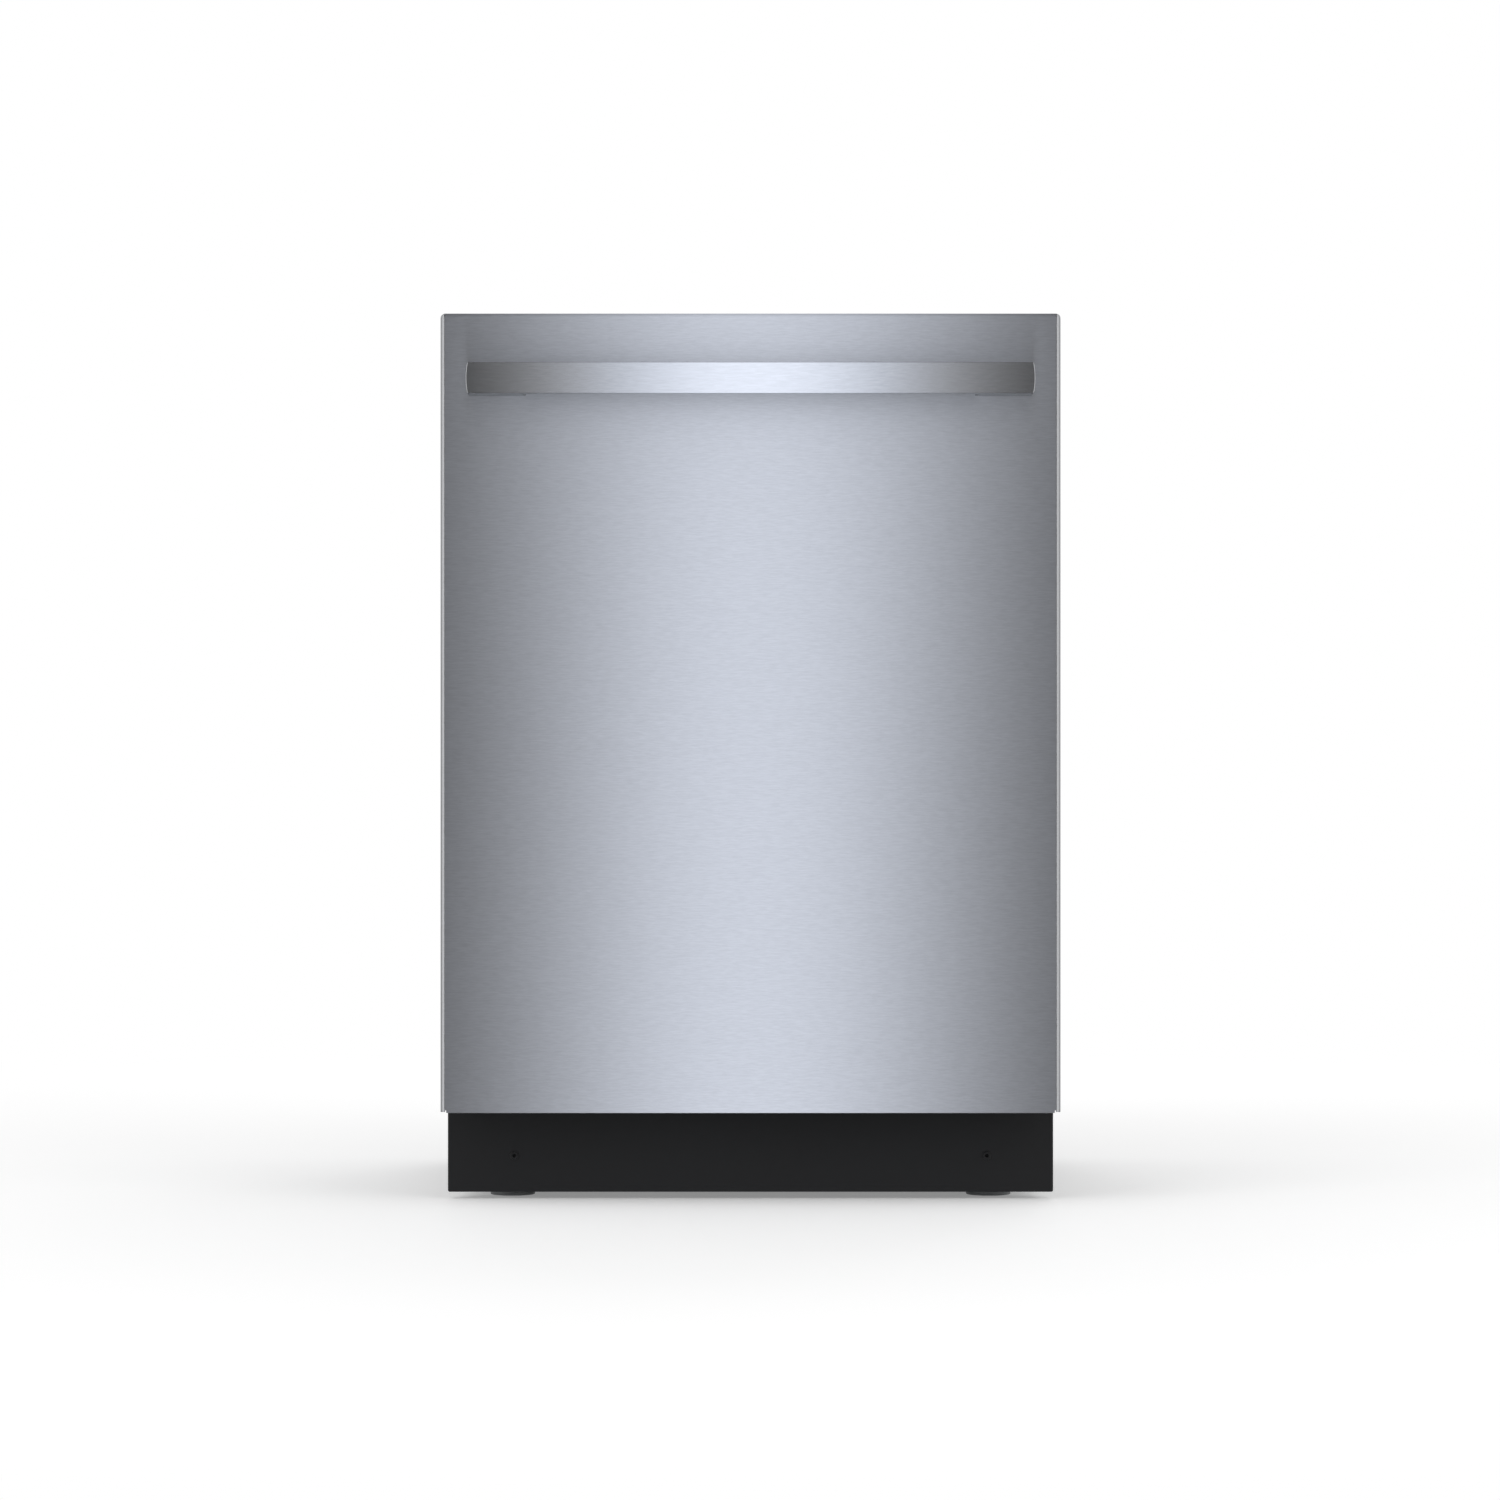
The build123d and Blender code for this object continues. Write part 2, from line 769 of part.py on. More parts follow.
def dispenser_cover():
    x0, x1, z0, z1 = cup_box()
    edge = cover_margin
    y0 = plug_y + dispenser_plate + slide_gap
    cover = block(x0 - edge, x1 + edge, y0, y0 + cover_thickness, z0 - edge, z1 + edge)
    y1 = y0 + cover_thickness
    grip = ((y0, z0), (y1, z0), (y1 + cover_thickness, z0 + edge), (y1, z0 + 2 * edge), (y0, z0 + 2 * edge))
    return cover + along_x(grip, x0 + 2 * edge, x1 - 2 * edge)


# Round cap with a hinge barrel at its top, where it turns up.
def rinse_aid_cap():
    x = dispenser_x + cap_offset
    z = cap_z()
    y0 = plug_y + dispenser_plate + seat_gap
    cap = rod_y(x, z, y0, y0 + cap_thickness, cap_radius)
    half = cap_radius / 2
    top = cap_hinge_z()
    cap += block(x - half, x + half, y0, y0 + cap_thickness, z, top)
    return cap + rod_x(y0 + cap_thickness / 2, top, x - half, x + half, cap_thickness / 2)


def cap_z():
    return dispenser_z + dispenser_half_height / 4


def cap_hinge_z():
    return cap_z() + cap_radius + cap_thickness


# Base: a moulded tray between two side rails.
def base_pan():
    rail = base_rail()
    return Compound([base_tray(), rail, left_of(rail)])


# Tray with a ribbed rear wall, bosses for the feet, a service window and holes for pipes and cable.
def base_tray():
    side = base_half - base_side_wall
    floor = base_bottom + moulding
    tray = block(-side, side, base_front, base_rear, base_bottom, base_top)
    tray -= block(-door_width, door_width, base_front + moulding, base_rear - moulding, floor, machine_height)
    half = moulding / 2
    inner = base_rear - moulding
    rib = ((inner, floor), (inner, base_top), (inner - moulding, base_top), (inner - base_rib_depth, floor))
    for x in spread(-foot_x / 2, foot_x / 2, base_rib_count):
        tray += along_x(rib, x - half, x + half)
    window = foot_x / 3
    low = floor + base_window_rise
    high = base_top - base_window_rise
    tray -= block(-window, 2 * window, base_front - cut_over, base_front + 2 * moulding, low, high)
    for x, y in foot_places():
        tray += hex_z(x, y, base_bottom, base_bottom + foot_boss_height, foot_boss_radius)
    for x, y in foot_places():
        tray -= rod_z(x, y, 0, machine_height, foot_stem_radius + pin_gap)
    room = spigot_collar + slide_gap
    wall = base_rear - 2 * moulding
    tray -= rod_y(valve_x, valve_z, wall, back, inlet_radius + room)
    tray -= rod_y(outlet_x, outlet_z, wall, back, outlet_radius + room)
    tray -= rod_y(cable_x, valve_z, wall, back, cable_radius)
    far = base_front + 2 * moulding
    hole = hex_y(kick_screw_x, kick_screw_z, base_front - cut_over, far, kick_screw_radius + pin_gap)
    return tray - hole - left_of(hole)


# Side rail with a channel along its outer face for the door spring.
def base_rail():
    rail = block(base_half - base_side_wall, base_half, base_front, base_rear, base_bottom, base_top)
    upright = rail.edges().filter_by(Axis.Z).group_by(Axis.Y)[-1].sort_by(Axis.X)[-1]
    rail = fillet(upright, base_corner)
    room = spring_radius + spring_room
    y1 = spring_y() + 2 * spring_radius
    y0 = spring_y() - spring_length
    return rail - block(base_half - spring_channel, door_width, y0, y1, spring_z - room, spring_z + room)


def foot_places():
    y = base_front + foot_inset
    return ((-foot_x, y), (foot_x, y), (0.0, base_rear - foot_inset))


def spring_y():
    return base_rear - foot_inset


# Counterbalance springs in the side channels, each with an eye at its back end.
def door_springs():
    x = base_half - spring_channel + seat_gap + spring_radius
    y1 = spring_y()
    coil = hex_y(x, spring_z, y1 - spring_length + 2 * spring_radius, y1, spring_radius * cos(radians(30)))
    eye = block(x - sheet, x + sheet, y1, y1 + 2 * spring_radius - seat_gap, spring_z - sheet,
        spring_z + sheet)
    spring = coil + eye
    return Compound([spring, left_of(spring)])


# Levelling foot: a round pad, a six-sided neck for a spanner and the stem that screws into the base.
def levelling_foot(x, y):
    pad = rod_z(x, y, 0, foot_pad_height, foot_pad_radius)
    neck = hex_z(x, y, foot_pad_height, foot_neck_height, foot_neck_radius)
    return pad + neck + rod_z(x, y, foot_neck_height, foot_stem_top, foot_stem_radius)


# Kick plate: a folded panel with its returns against the base.
def kick_plate():
    half = kick_half
    plate = block(-half, half, kick_y, base_front - seat_gap, kick_bottom, kick_top)
    face = plate.faces().sort_by(Axis.Y)[0]
    plate = fillet(face.edges().filter_by(Axis.Z) + plate.edges().filter_by(Axis.Y), kick_corner)
    fold = kick_sheet
    plate -= block(fold - half, half - fold, kick_y + fold, back, kick_bottom + fold, kick_top - fold)
    hole = hex_y(kick_screw_x, kick_screw_z, kick_y - cut_over, back, kick_screw_radius + pin_gap)
    return plate - hole - left_of(hole)


def kick_plate_screws():
    head = rod_y(kick_screw_x, kick_screw_z, kick_y - kick_screw_head_height, kick_y, kick_screw_head)
    screw = head + hex_y(kick_screw_x, kick_screw_z, kick_y, kick_y + kick_screw_length, kick_screw_radius)
    return Compound([screw, left_of(screw)])


# Tub wrapper: left side, top and right side in one bent sheet, with a front flange.
def tub_wrapper():
    out = tub_half + tub_sheet
    top = tub_top_z + tub_sheet
    outer = block(-out, out, tub_front, tub_back_y, base_top, top)
    outer = fillet(outer.edges().filter_by(Axis.Y).group_by(Axis.Z)[-1], tub_bend + tub_sheet)
    inner = block(-tub_half, tub_half, tub_front - cut_over, back, 0, tub_top_z)
    inner = fillet(inner.edges().filter_by(Axis.Y).group_by(Axis.Z)[-1], tub_bend)
    wide = tub_half + tub_flange
    flange = block(-wide, wide, tub_front, tub_front + tub_sheet, base_top + tub_sheet,
        tub_top_z + tub_flange_rise)
    return outer + flange - inner


def tub_back():
    wide = tub_half + tub_sheet
    low = tub_floor_z - tub_sheet
    return block(-wide, wide, tub_back_y, tub_back_y + tub_sheet, low, tub_top_z + tub_sheet)


# Tub floor: a bent section with raised ledges for the rack wheels, a front skirt and the sump opening.
def tub_floor():
    half = tub_half - seat_gap
    ledge = half - ledge_width
    thick = tub_sheet
    right = [
        (ledge, tub_floor_z), (ledge, ledge_z), (half, ledge_z), (half, base_top), (half - thick, base_top),
        (half - thick, ledge_z - thick), (ledge + thick, ledge_z - thick), (ledge + thick,
            tub_floor_z - thick),
    ]
    pan = along_y(right + [(-x, z) for x, z in reversed(right)], tub_front, tub_back_y - seat_gap)
    pan += block(-half, half, tub_front, tub_front + thick, base_top, tub_floor_z)
    stop = plug_y + 2 * thick
    ridge = ((stop, tub_floor_z), (stop + thick, tub_floor_z + 4 * thick), (stop + 2 * thick, tub_floor_z))
    pan += along_x(ridge, -ledge, ledge)
    return pan - rod_z(0, arm_y, base_bottom, machine_height, sump_radius - moulding)


# Door gasket: a rubber strip on the two sides and the top of the tub flange.
def door_gasket():
    y0 = tub_front - gasket_depth
    wide = tub_half + gasket_width
    top = tub_top_z + gasket_width
    strip = block(-wide, wide, y0, tub_front, base_top + tub_sheet + gasket_width, top)
    strip -= block(-tub_half, tub_half, y0 - cut_over, back, 0, tub_top_z)
    return fillet(strip.faces().sort_by(Axis.Y)[0].edges(), gasket_edge)


# Side panel: a sheet with upright ribs pressed inwards and folded edges at its foot, top and back.
def side_panel():
    x1 = body_half
    x0 = x1 - panel_sheet
    y1 = tub_back_y + rear_pad
    z0 = kick_top + 2 * sheet
    z1 = tub_top_z + tub_flange
    panel = block(x0, x1, kick_y, y1, z0, z1)
    middle = (z0 + z1) / 2 + panel_rib_width / 2
    tall = z1 - z0 - 3 * panel_rib_width
    for y in spread(kick_y + panel_rib_width, y1 - panel_rib_width, panel_rib_count):
        panel += pressed_rib(x0, y, middle, tall)
        panel -= pressed_rib(x1, y, middle, tall)
    inner = base_half + seat_gap
    panel += block(inner, x0, base_front + bracket_reach + seat_gap, y1, z0, z0 + panel_sheet)
    panel += block(inner, x0, kick_y, y1, z1 - panel_sheet, z1)
    return panel + block(inner, x0, y1 - panel_sheet, y1, z0, z1)


# A shallow rib with sloping sides, from the plane at x towards the tub.
def pressed_rib(x, y, z, tall):
    place = Plane(origin=(x, y, z), x_dir=(0, 1, 0), z_dir=(-1, 0, 0))
    return extrude(place * Rectangle(panel_rib_width, tall), panel_rib, taper=panel_rib_slope)


# Insulation over the two sides and the top of the tub.
def tub_insulation():
    inner = tub_half + tub_sheet + seat_gap
    out = inner + wrap_thickness - 2 * seat_gap
    top = tub_top_z + tub_sheet + seat_gap
    y0 = tub_front + tub_sheet + seat_gap
    low = base_top + seat_gap
    over = top + wrap_thickness
    right = [(out, low), (inner, low), (inner, top)]
    return along_y(
        [(-out, over), (out, over)] + right + [(-x, z) for x, z in reversed(right)], y0, tub_back_y
    )


def rear_insulation():
    wide = tub_half + tub_sheet
    y0 = tub_back_y + tub_sheet + seat_gap
    return block(-wide, wide, y0, tub_back_y + rear_pad, base_top + seat_gap, tub_top_z + tub_sheet)


# Two brackets bent to a U, for the screws into the counter above.
def counter_brackets():
    half = counter_bracket_width / 2
    x = counter_bracket_x
    y0 = tub_front + tub_sheet + seat_gap
    y1 = y0 + counter_bracket_depth
    high = machine_height - 2 * sheet
    low = tub_top_z + tub_sheet + seat_gap + wrap_thickness + seat_gap
    thick = tub_sheet
    section = (
        (y0, low), (y1, low), (y1, low + thick), (y0 + thick, low + thick), (y0 + thick, high - thick),
        (y1, high - thick), (y1, high), (y0, high),
    )
    plate = along_x(section, x - half, x + half)
    plate -= rod_z(x, y0 + counter_bracket_depth / 2, high - 2 * thick, machine_height,
        counter_bracket_hole)
    return Compound([plate, left_of(plate)])


# Sump: a cup under the tub floor with the spindle that feeds and carries the lower arm.
def sump():
    top = tub_floor_z - tub_sheet - seat_gap
    wall = moulding
    shelf = tub_floor_z - tub_sheet - filter_plate_thickness - seat_gap
    stop = lower_arm_z - slide_gap
    return turned(0, arm_y, (
        (0, sump_bottom), (sump_radius, sump_bottom), (sump_radius, top - wall),
        (sump_radius + sump_flange, top), (sump_radius - wall, top), (sump_radius - wall, shelf),
        (sump_radius - 2 * wall, shelf), (sump_radius - 2 * wall, sump_bottom + wall),
        (spindle_radius + wall, sump_bottom + wall), (spindle_radius + wall, stop), (spindle_radius, stop),
        (spindle_radius, spindle_top), (0, spindle_top),
    ))


# Round filter plate in the sump mouth with rows of slots.
def filter_plate():
    radius = sump_radius - moulding - seat_gap
    z1 = tub_floor_z - tub_sheet
    plate = rod_z(0, arm_y, z1 - filter_plate_thickness, z1, radius)
    hole = spindle_radius + moulding + seat_gap
    plate -= rod_z(0, arm_y, 0, machine_height, hole)
    cx, cy = cup_place()
    plate -= rod_z(cx, cy, 0, machine_height, cup_filter_radius + slide_gap)
    for i in range(filter_slot_count):
        y = arm_y + hole + filter_slot_pitch * (i + 1)
        long = radius / 2 - i * filter_slot_pitch / 2
        plate -= block(-long, long, y, y + filter_slot, 0, machine_height)
    return plate


def cup_place():
    return cup_x, arm_y + cup_y_offset


# Filter cup that turns to lock, with a grip bar across its top.
def filter_cup():
    cx, cy = cup_place()
    z1 = tub_floor_z + 2 * slide_gap
    wide = cup_filter_radius + moulding
    cup = turned(cx, cy, (
        (0, tub_floor_z - cup_filter_depth), (cup_filter_radius, tub_floor_z - cup_filter_depth),
        (cup_filter_radius, tub_floor_z - tub_sheet + seat_gap), (wide, tub_floor_z - tub_sheet + seat_gap),
        (wide, z1 + 2 * sheet), (0, z1 + 2 * sheet),
    ))
    half = cup_filter_radius
    top = tub_floor_z + cup_filter_stand
    grip = ((cx - half, z1), (cx + half, z1), (cx + half / 2, top), (cx - half / 2, top))
    return cup + along_y(grip, cy - moulding, cy + moulding)


# Circulation pump: a volute against the sump, the motor behind it with a domed end, and a foot.
def circulation_pump():
    start = sump_radius + seat_gap
    end = start + volute_length + pump_length
    neck = start + volute_length
    profile = (
        (start, 0), (start, volute_radius), (neck, volute_radius), (neck, pump_radius),
        (end - pump_dome, pump_radius), (end, pump_radius - pump_dome), (end, 0),
    )
    pump = Pos(0, arm_y, pump_z) * revolve(make_face(Polyline(*profile, close=True)), Axis.X)
    half = pump_radius / 2
    foot = base_bottom + moulding
    middle = neck + pump_length / 2
    leg = ((arm_y - half, foot), (arm_y + half, foot), (arm_y + half / 2, pump_z),
        (arm_y - half / 2, pump_z))
    return pump + along_x(leg, middle - half / 2, middle + half / 2)


def drain_pump():
    x1 = -sump_radius - seat_gap
    x0 = x1 - drain_length
    z = sump_bottom + drain_radius
    pump = rod_x(arm_y, z, x0, x1, drain_radius)
    half = drain_radius / 2
    foot = base_bottom + moulding
    leg = ((arm_y - half, foot), (arm_y + half, foot), (arm_y + half / 2, z), (arm_y - half / 2, z))
    return pump + along_x(leg, x0 + half, x0 + 2 * half)


# Inlet valve with its solenoid on top and a threaded spigot through the back of the base.
def inlet_valve():
    y1 = base_rear - moulding - seat_gap
    half = valve_width / 2
    low = base_bottom + moulding
    valve = block(valve_x - half, valve_x + half, y1 - valve_depth, y1, low, low + valve_height)
    valve = chamfer(valve.edges().filter_by(Axis.Z).group_by(Axis.Y)[0], half / 2)
    top = low + valve_height
    valve += hex_z(valve_x, y1 - valve_depth / 2, top, top + half, half * 2 / 3)
    valve += rod_y(valve_x, valve_z, y1, base_rear, inlet_radius + spigot_collar)
    return valve + rod_y(valve_x, valve_z, base_rear, back, inlet_radius)


def drain_outlet():
    y1 = base_rear - moulding - seat_gap
    collar = outlet_radius + spigot_collar
    spout = hex_y(outlet_x, outlet_z, y1 - 2 * moulding, y1, collar + moulding)
    spout += rod_y(outlet_x, outlet_z, y1, base_rear, collar)
    spout += rod_y(outlet_x, outlet_z, base_rear, back, outlet_radius)
    return spout - rod_y(outlet_x, outlet_z, 0, back + cut_over, outlet_bore)


# Water duct up the inside of the tub back and along the ceiling to the sprayer.
def water_duct():
    y1 = tub_back_y - seat_gap
    y0 = y1 - duct_depth
    z0 = tub_floor_z + seat_gap
    z1 = tub_top_z - seat_gap
    under = z1 - duct_depth
    bend = 2 * duct_depth
    end = arm_y - duct_half
    section = (
        (y0, z0), (y1, z0), (y1, z1 - duct_edge), (y1 - duct_edge, z1), (end, z1), (end, under),
        (y0 - bend, under),
        (y0, under - bend),
    )
    duct = along_x(section, -duct_half, duct_half)
    faces = (duct.faces().filter_by(Plane.XZ).sort_by(Axis.Y),
        duct.faces().filter_by(Plane.XY).sort_by(Axis.Z))
    edges = faces[0][-2].edges().filter_by(Axis.Z) + faces[1][-2].edges().filter_by(Axis.Y)
    duct = chamfer(edges, duct_edge)
    return duct + rod_z(0, arm_y, under - sprayer_drop, z1, sprayer_radius / 3)


# Ceiling sprayer: a shallow turned dish with a raised middle.
def ceiling_sprayer():
    z1 = tub_top_z - seat_gap - duct_depth - sprayer_drop - seat_gap
    middle = sprayer_radius / 3
    return turned(0, arm_y, (
        (0, z1), (sprayer_radius, z1), (sprayer_radius - sprayer_height / 2, z1 - sprayer_height),
        (middle, z1 - sprayer_height), (0, z1 - sprayer_height - sprayer_drop),
    ))


# Junction box inside the base front: a body with a lid that overlaps it and a cable hole in its back.
def junction_box():
    y0 = base_front + moulding + seat_gap
    half = box_width / 2
    low = base_bottom + moulding
    high = low + box_height
    body = block(box_x - half, box_x + half, y0, y0 + box_depth, low, high - moulding)
    lid = ((y0, high - moulding), (y0 + box_depth, high - moulding), (y0 + box_depth, high),
        (y0 + moulding, high))
    body += along_x(lid, box_x - half, box_x + half)
    return body - rod_y(box_x, low + box_height / 2, y0 + box_depth - 2 * moulding, back, cable_radius)


# Fixed channels on the tub sides for the upper rails and the third rack.
def rack_tracks():
    x1 = tub_half - seat_gap
    x0 = x1 - rail_head_width - 2 * slide_gap - 2 * track_wall
    tall = rail_head / 2 + slide_gap + track_wall
    upper = track_channel(x0, x1, rail_z, tall, rail_web / 2 + 2 * slide_gap)
    half = runner_height / 2 + slide_gap
    third = track_channel(x1 - runner_width, x1, runner_z(), half + track_wall, half)
    return Compound([upper, left_of(upper), third, left_of(third)])


# A channel open towards the tub: a C section with its lips a mouth apart.
def track_channel(x0, x1, z, tall, mouth):
    wall = track_wall
    inner = tall - wall
    upper = [(x0, mouth), (x0, tall), (x1, tall)]
    hollow = [(x1 - wall, inner), (x0 + wall, inner), (x0 + wall, mouth)]
    if mouth == inner:
        hollow = [(x1 - wall, inner)]
    half = upper + [(x, -h) for x, h in reversed(upper)] + [(x, -h) for x, h in reversed(hollow)] + hollow
    return along_y([(x, z + h) for x, h in half], track_front, rack_back)


def runner_z():
    return third_floor + runner_height


# Moving rails: a T section with its head inside the channel and its web towards the rack.
def upper_rails():
    x1 = tub_half - seat_gap - track_wall - slide_gap
    x0 = x1 - rail_head_width
    inner = upper_half + wire + hanger_wall
    head = rail_head / 2
    web = rail_web / 2
    section = (
        (x1, head), (x0, head), (x0, web), (inner, web), (inner, -web), (x0, -web), (x0, -head), (x1,
            -head),
    )
    rail = along_y([(x, rail_z + h) for x, h in section], rail_front, rail_back)
    return Compound([rail, left_of(rail)])


# Upper rack: wire basket, two rows of fixed tines and the hangers that grip the moving rails.
def upper_rack():
    parts = wire_basket(upper_half, upper_floor, upper_top, upper_cross_count, upper_long_count)
    foot = upper_floor + wire + wire / 2 + 2 * weld_gap
    for x in (-upper_tine_x(), upper_tine_x()):
        parts += upright_tines(x, foot, upper_tine_height, upper_tine_count)
    x0 = upper_half + wire / 2 + weld_gap
    x1 = x0 + hanger_wall - wire / 2
    x2 = tub_half - rail_head_width - 2 * slide_gap - 2 * track_wall - 3 * slide_gap
    inner = rail_web / 2 + slide_gap
    outer = inner + hanger_wall
    grip = ((x0, outer), (x2, outer), (x2, inner), (x1, inner), (x1, -inner), (x2, -inner), (x2, -outer),
        (x0, -outer))
    hanger = along_y([(x, rail_z + h) for x, h in grip], hanger_front, hanger_back)
    return Compound(parts + [hanger, left_of(hanger)])


def upper_tine_x():
    return -long_places(upper_half, upper_long_count)[upper_tine_index]


# Feed pipe under the upper rack, from the duct to the hub that carries the arm.
def upper_feed_pipe():
    z1 = upper_floor - wire / 2 - weld_gap
    z0 = z1 - feed_height
    dock = tub_back_y - seat_gap - duct_depth - seat_gap
    cut = feed_height / 3
    section = (
        (-feed_half, z1), (feed_half, z1), (feed_half, z0 + cut), (feed_half - cut, z0), (cut - feed_half,
            z0),
        (-feed_half, z0 + cut),
    )
    pipe = along_y(section, arm_y, dock)
    nut = middle_arm_z - slide_gap
    hub = turned(0, arm_y, (
        (0, z1), (feed_half, z1), (feed_half, z0), (spindle_radius, z0), (spindle_radius, nut),
        (spindle_radius + moulding, nut), (spindle_radius + moulding, nut - 2 * moulding), (0,
            nut - 2 * moulding),
    ))
    return pipe + hub


# Spray arm: two curved blades on a hub, the same after half a turn, with slanted slots along the top.
def spray_arm(radius, z0):
    root = arm_root_half
    tip = arm_tip_half
    end = radius - tip
    middle = radius / 2
    bulge = (root + tip) / 2 + arm_bulge
    hollow = (root + tip) / 2 - arm_bulge
    outline = []
    for turn in (1, -1):
        points = ((0, -root), (middle, -bulge), (end, -tip), (radius, 0), (end, tip), (middle, hollow),
            (0, root))
        points = [(turn * x, turn * y) for x, y in points]
        outline += [ThreePointArc(*points[i:i + 3]) for i in (0, 2, 4)]
    face = make_face(outline)
    side = arm_thickness - arm_edge
    blades = extrude(face, side) + Pos(0, 0, side) * extrude(face, arm_edge, taper=arm_edge_slope)
    arm = Pos(0, arm_y, z0) * blades
    arm += rod_z(0, arm_y, z0, z0 + arm_thickness, arm_hub_radius)
    for x in spread(arm_hub_radius * 2, radius - 2 * tip, arm_slot_count):
        for side in (-1, 1):
            slot = Box(arm_slot_length, arm_slot_width, arm_edge)
            place = Pos(side * x, arm_y - side * arm_bulge / 2, z0 + arm_thickness)
            arm -= place * Rot(0, 0, arm_slot_turn * side) * slot
    return arm - rod_z(0, arm_y, z0 - cut_over, z0 + arm_thickness + cut_over, spindle_radius + pin_gap)


# Lower rack: wire basket, a middle loop and the brackets with axles for the wheels.
def lower_rack():
    parts = wire_basket(lower_half, lower_floor, lower_top, lower_cross_count, lower_long_count)
    step = wire + 2 * weld_gap
    parts.append(loop_wire(lower_half + step, rack_front - step, rack_back + step, lower_mid, wire))
    x0 = lower_half + wire / 2 + weld_gap
    x1 = x0 + wheel_bracket
    half = wheel_bracket_half
    low = axle_z - half / 2
    high = lower_floor + 3 * wire_bend
    for y in wheel_places():
        outline = ((y - half / 2, low), (y + half / 2, low), (y + half, axle_z), (y + half, high),
            (y - half, high), (y - half, axle_z))
        bracket = along_x(outline, x0, x1)
        bracket += rod_x(y, axle_z, x1, x1 + wheel_width + 2 * slide_gap, wheel_hole - pin_gap)
        parts += [bracket, left_of(bracket)]
    return Compound(parts)


def wheel_places():
    places = cross_places(lower_cross_count)
    return places[wheel_front_index], places[wheel_rear_index]


def wheel_pair(y):
    x0 = lower_half + wire / 2 + weld_gap + wheel_bracket + slide_gap
    wheel = rod_x(y, axle_z, x0, x0 + wheel_width, wheel_radius)
    wheel -= rod_x(y, axle_z, x0 - cut_over, x0 + wheel_width + cut_over, wheel_hole)
    return Compound([wheel, left_of(wheel)])


# Folding tine row: a rod along the rack floor and upright tines on it.
def tine_row(place):
    x = long_places(lower_half, lower_long_count)[place]
    z = tine_z()
    row = rod_y(x, z, tine_front - wire_bend, tine_back + wire_bend, wire / 2)
    foot = z + wire / 2 + weld_gap
    return Compound([row] + upright_tines(x, foot, tine_height, tine_count))


def tine_z():
    return lower_floor + wire + weld_gap + wire + seat_gap


# Cutlery basket: two rows of open cells with slotted walls, and a grip on the wall between the rows.
def cutlery_basket():
    wall = basket_wall
    low = lower_floor + wire + weld_gap + wire / 2 + seat_gap
    body = block(basket_x0, basket_x1, basket_y0, basket_y1, low, basket_top)
    middle = (basket_y0 + basket_y1) / 2
    cell = (basket_width - wall) / basket_cells
    for i in range(basket_cells):
        x = basket_x0 + wall + cell * i
        for y0, y1 in ((basket_y0 + wall, middle - wall / 2), (middle + wall / 2, basket_y1 - wall)):
            body -= block(x, x + cell - wall, y0, y1, low + wall, machine_height)
    margin = basket_slot * 2
    half = basket_slot / 2
    for x in spread(basket_x0 + margin, basket_x1 - margin, basket_slot_count):
        for y in (basket_y0, basket_y1):
            body -= block(x - half, x + half, y - 2 * wall, y + 2 * wall, low + 2 * margin,
                basket_top - margin)
    x0 = basket_x0 + basket_grip_margin
    x1 = basket_x1 - basket_grip_margin
    high = basket_top + basket_grip
    grip = ((x0, basket_top - margin), (x1, basket_top - margin), (x1 - margin, high), (x0 + margin, high))
    spine = along_y(grip, middle - wall / 2, middle + wall / 2)
    hand = block(x0 + 2 * margin, x1 - 2 * margin, basket_y0, basket_y1, high - 2 * margin, high - half)
    return body + (spine - hand)


# Third rack: a shallow wire tray with a runner on each side.
def third_rack():
    parts = wire_basket(third_half, third_floor, third_top, third_cross_count, third_long_count)
    x0 = third_half + wire / 2 + weld_gap
    x1 = tub_half - seat_gap - track_wall - slide_gap
    z = runner_z()
    half = runner_height / 2
    runner = block(x0, x1, rack_front, rack_back, z - half, z + half)
    return Compound(parts + [runner, left_of(runner)])


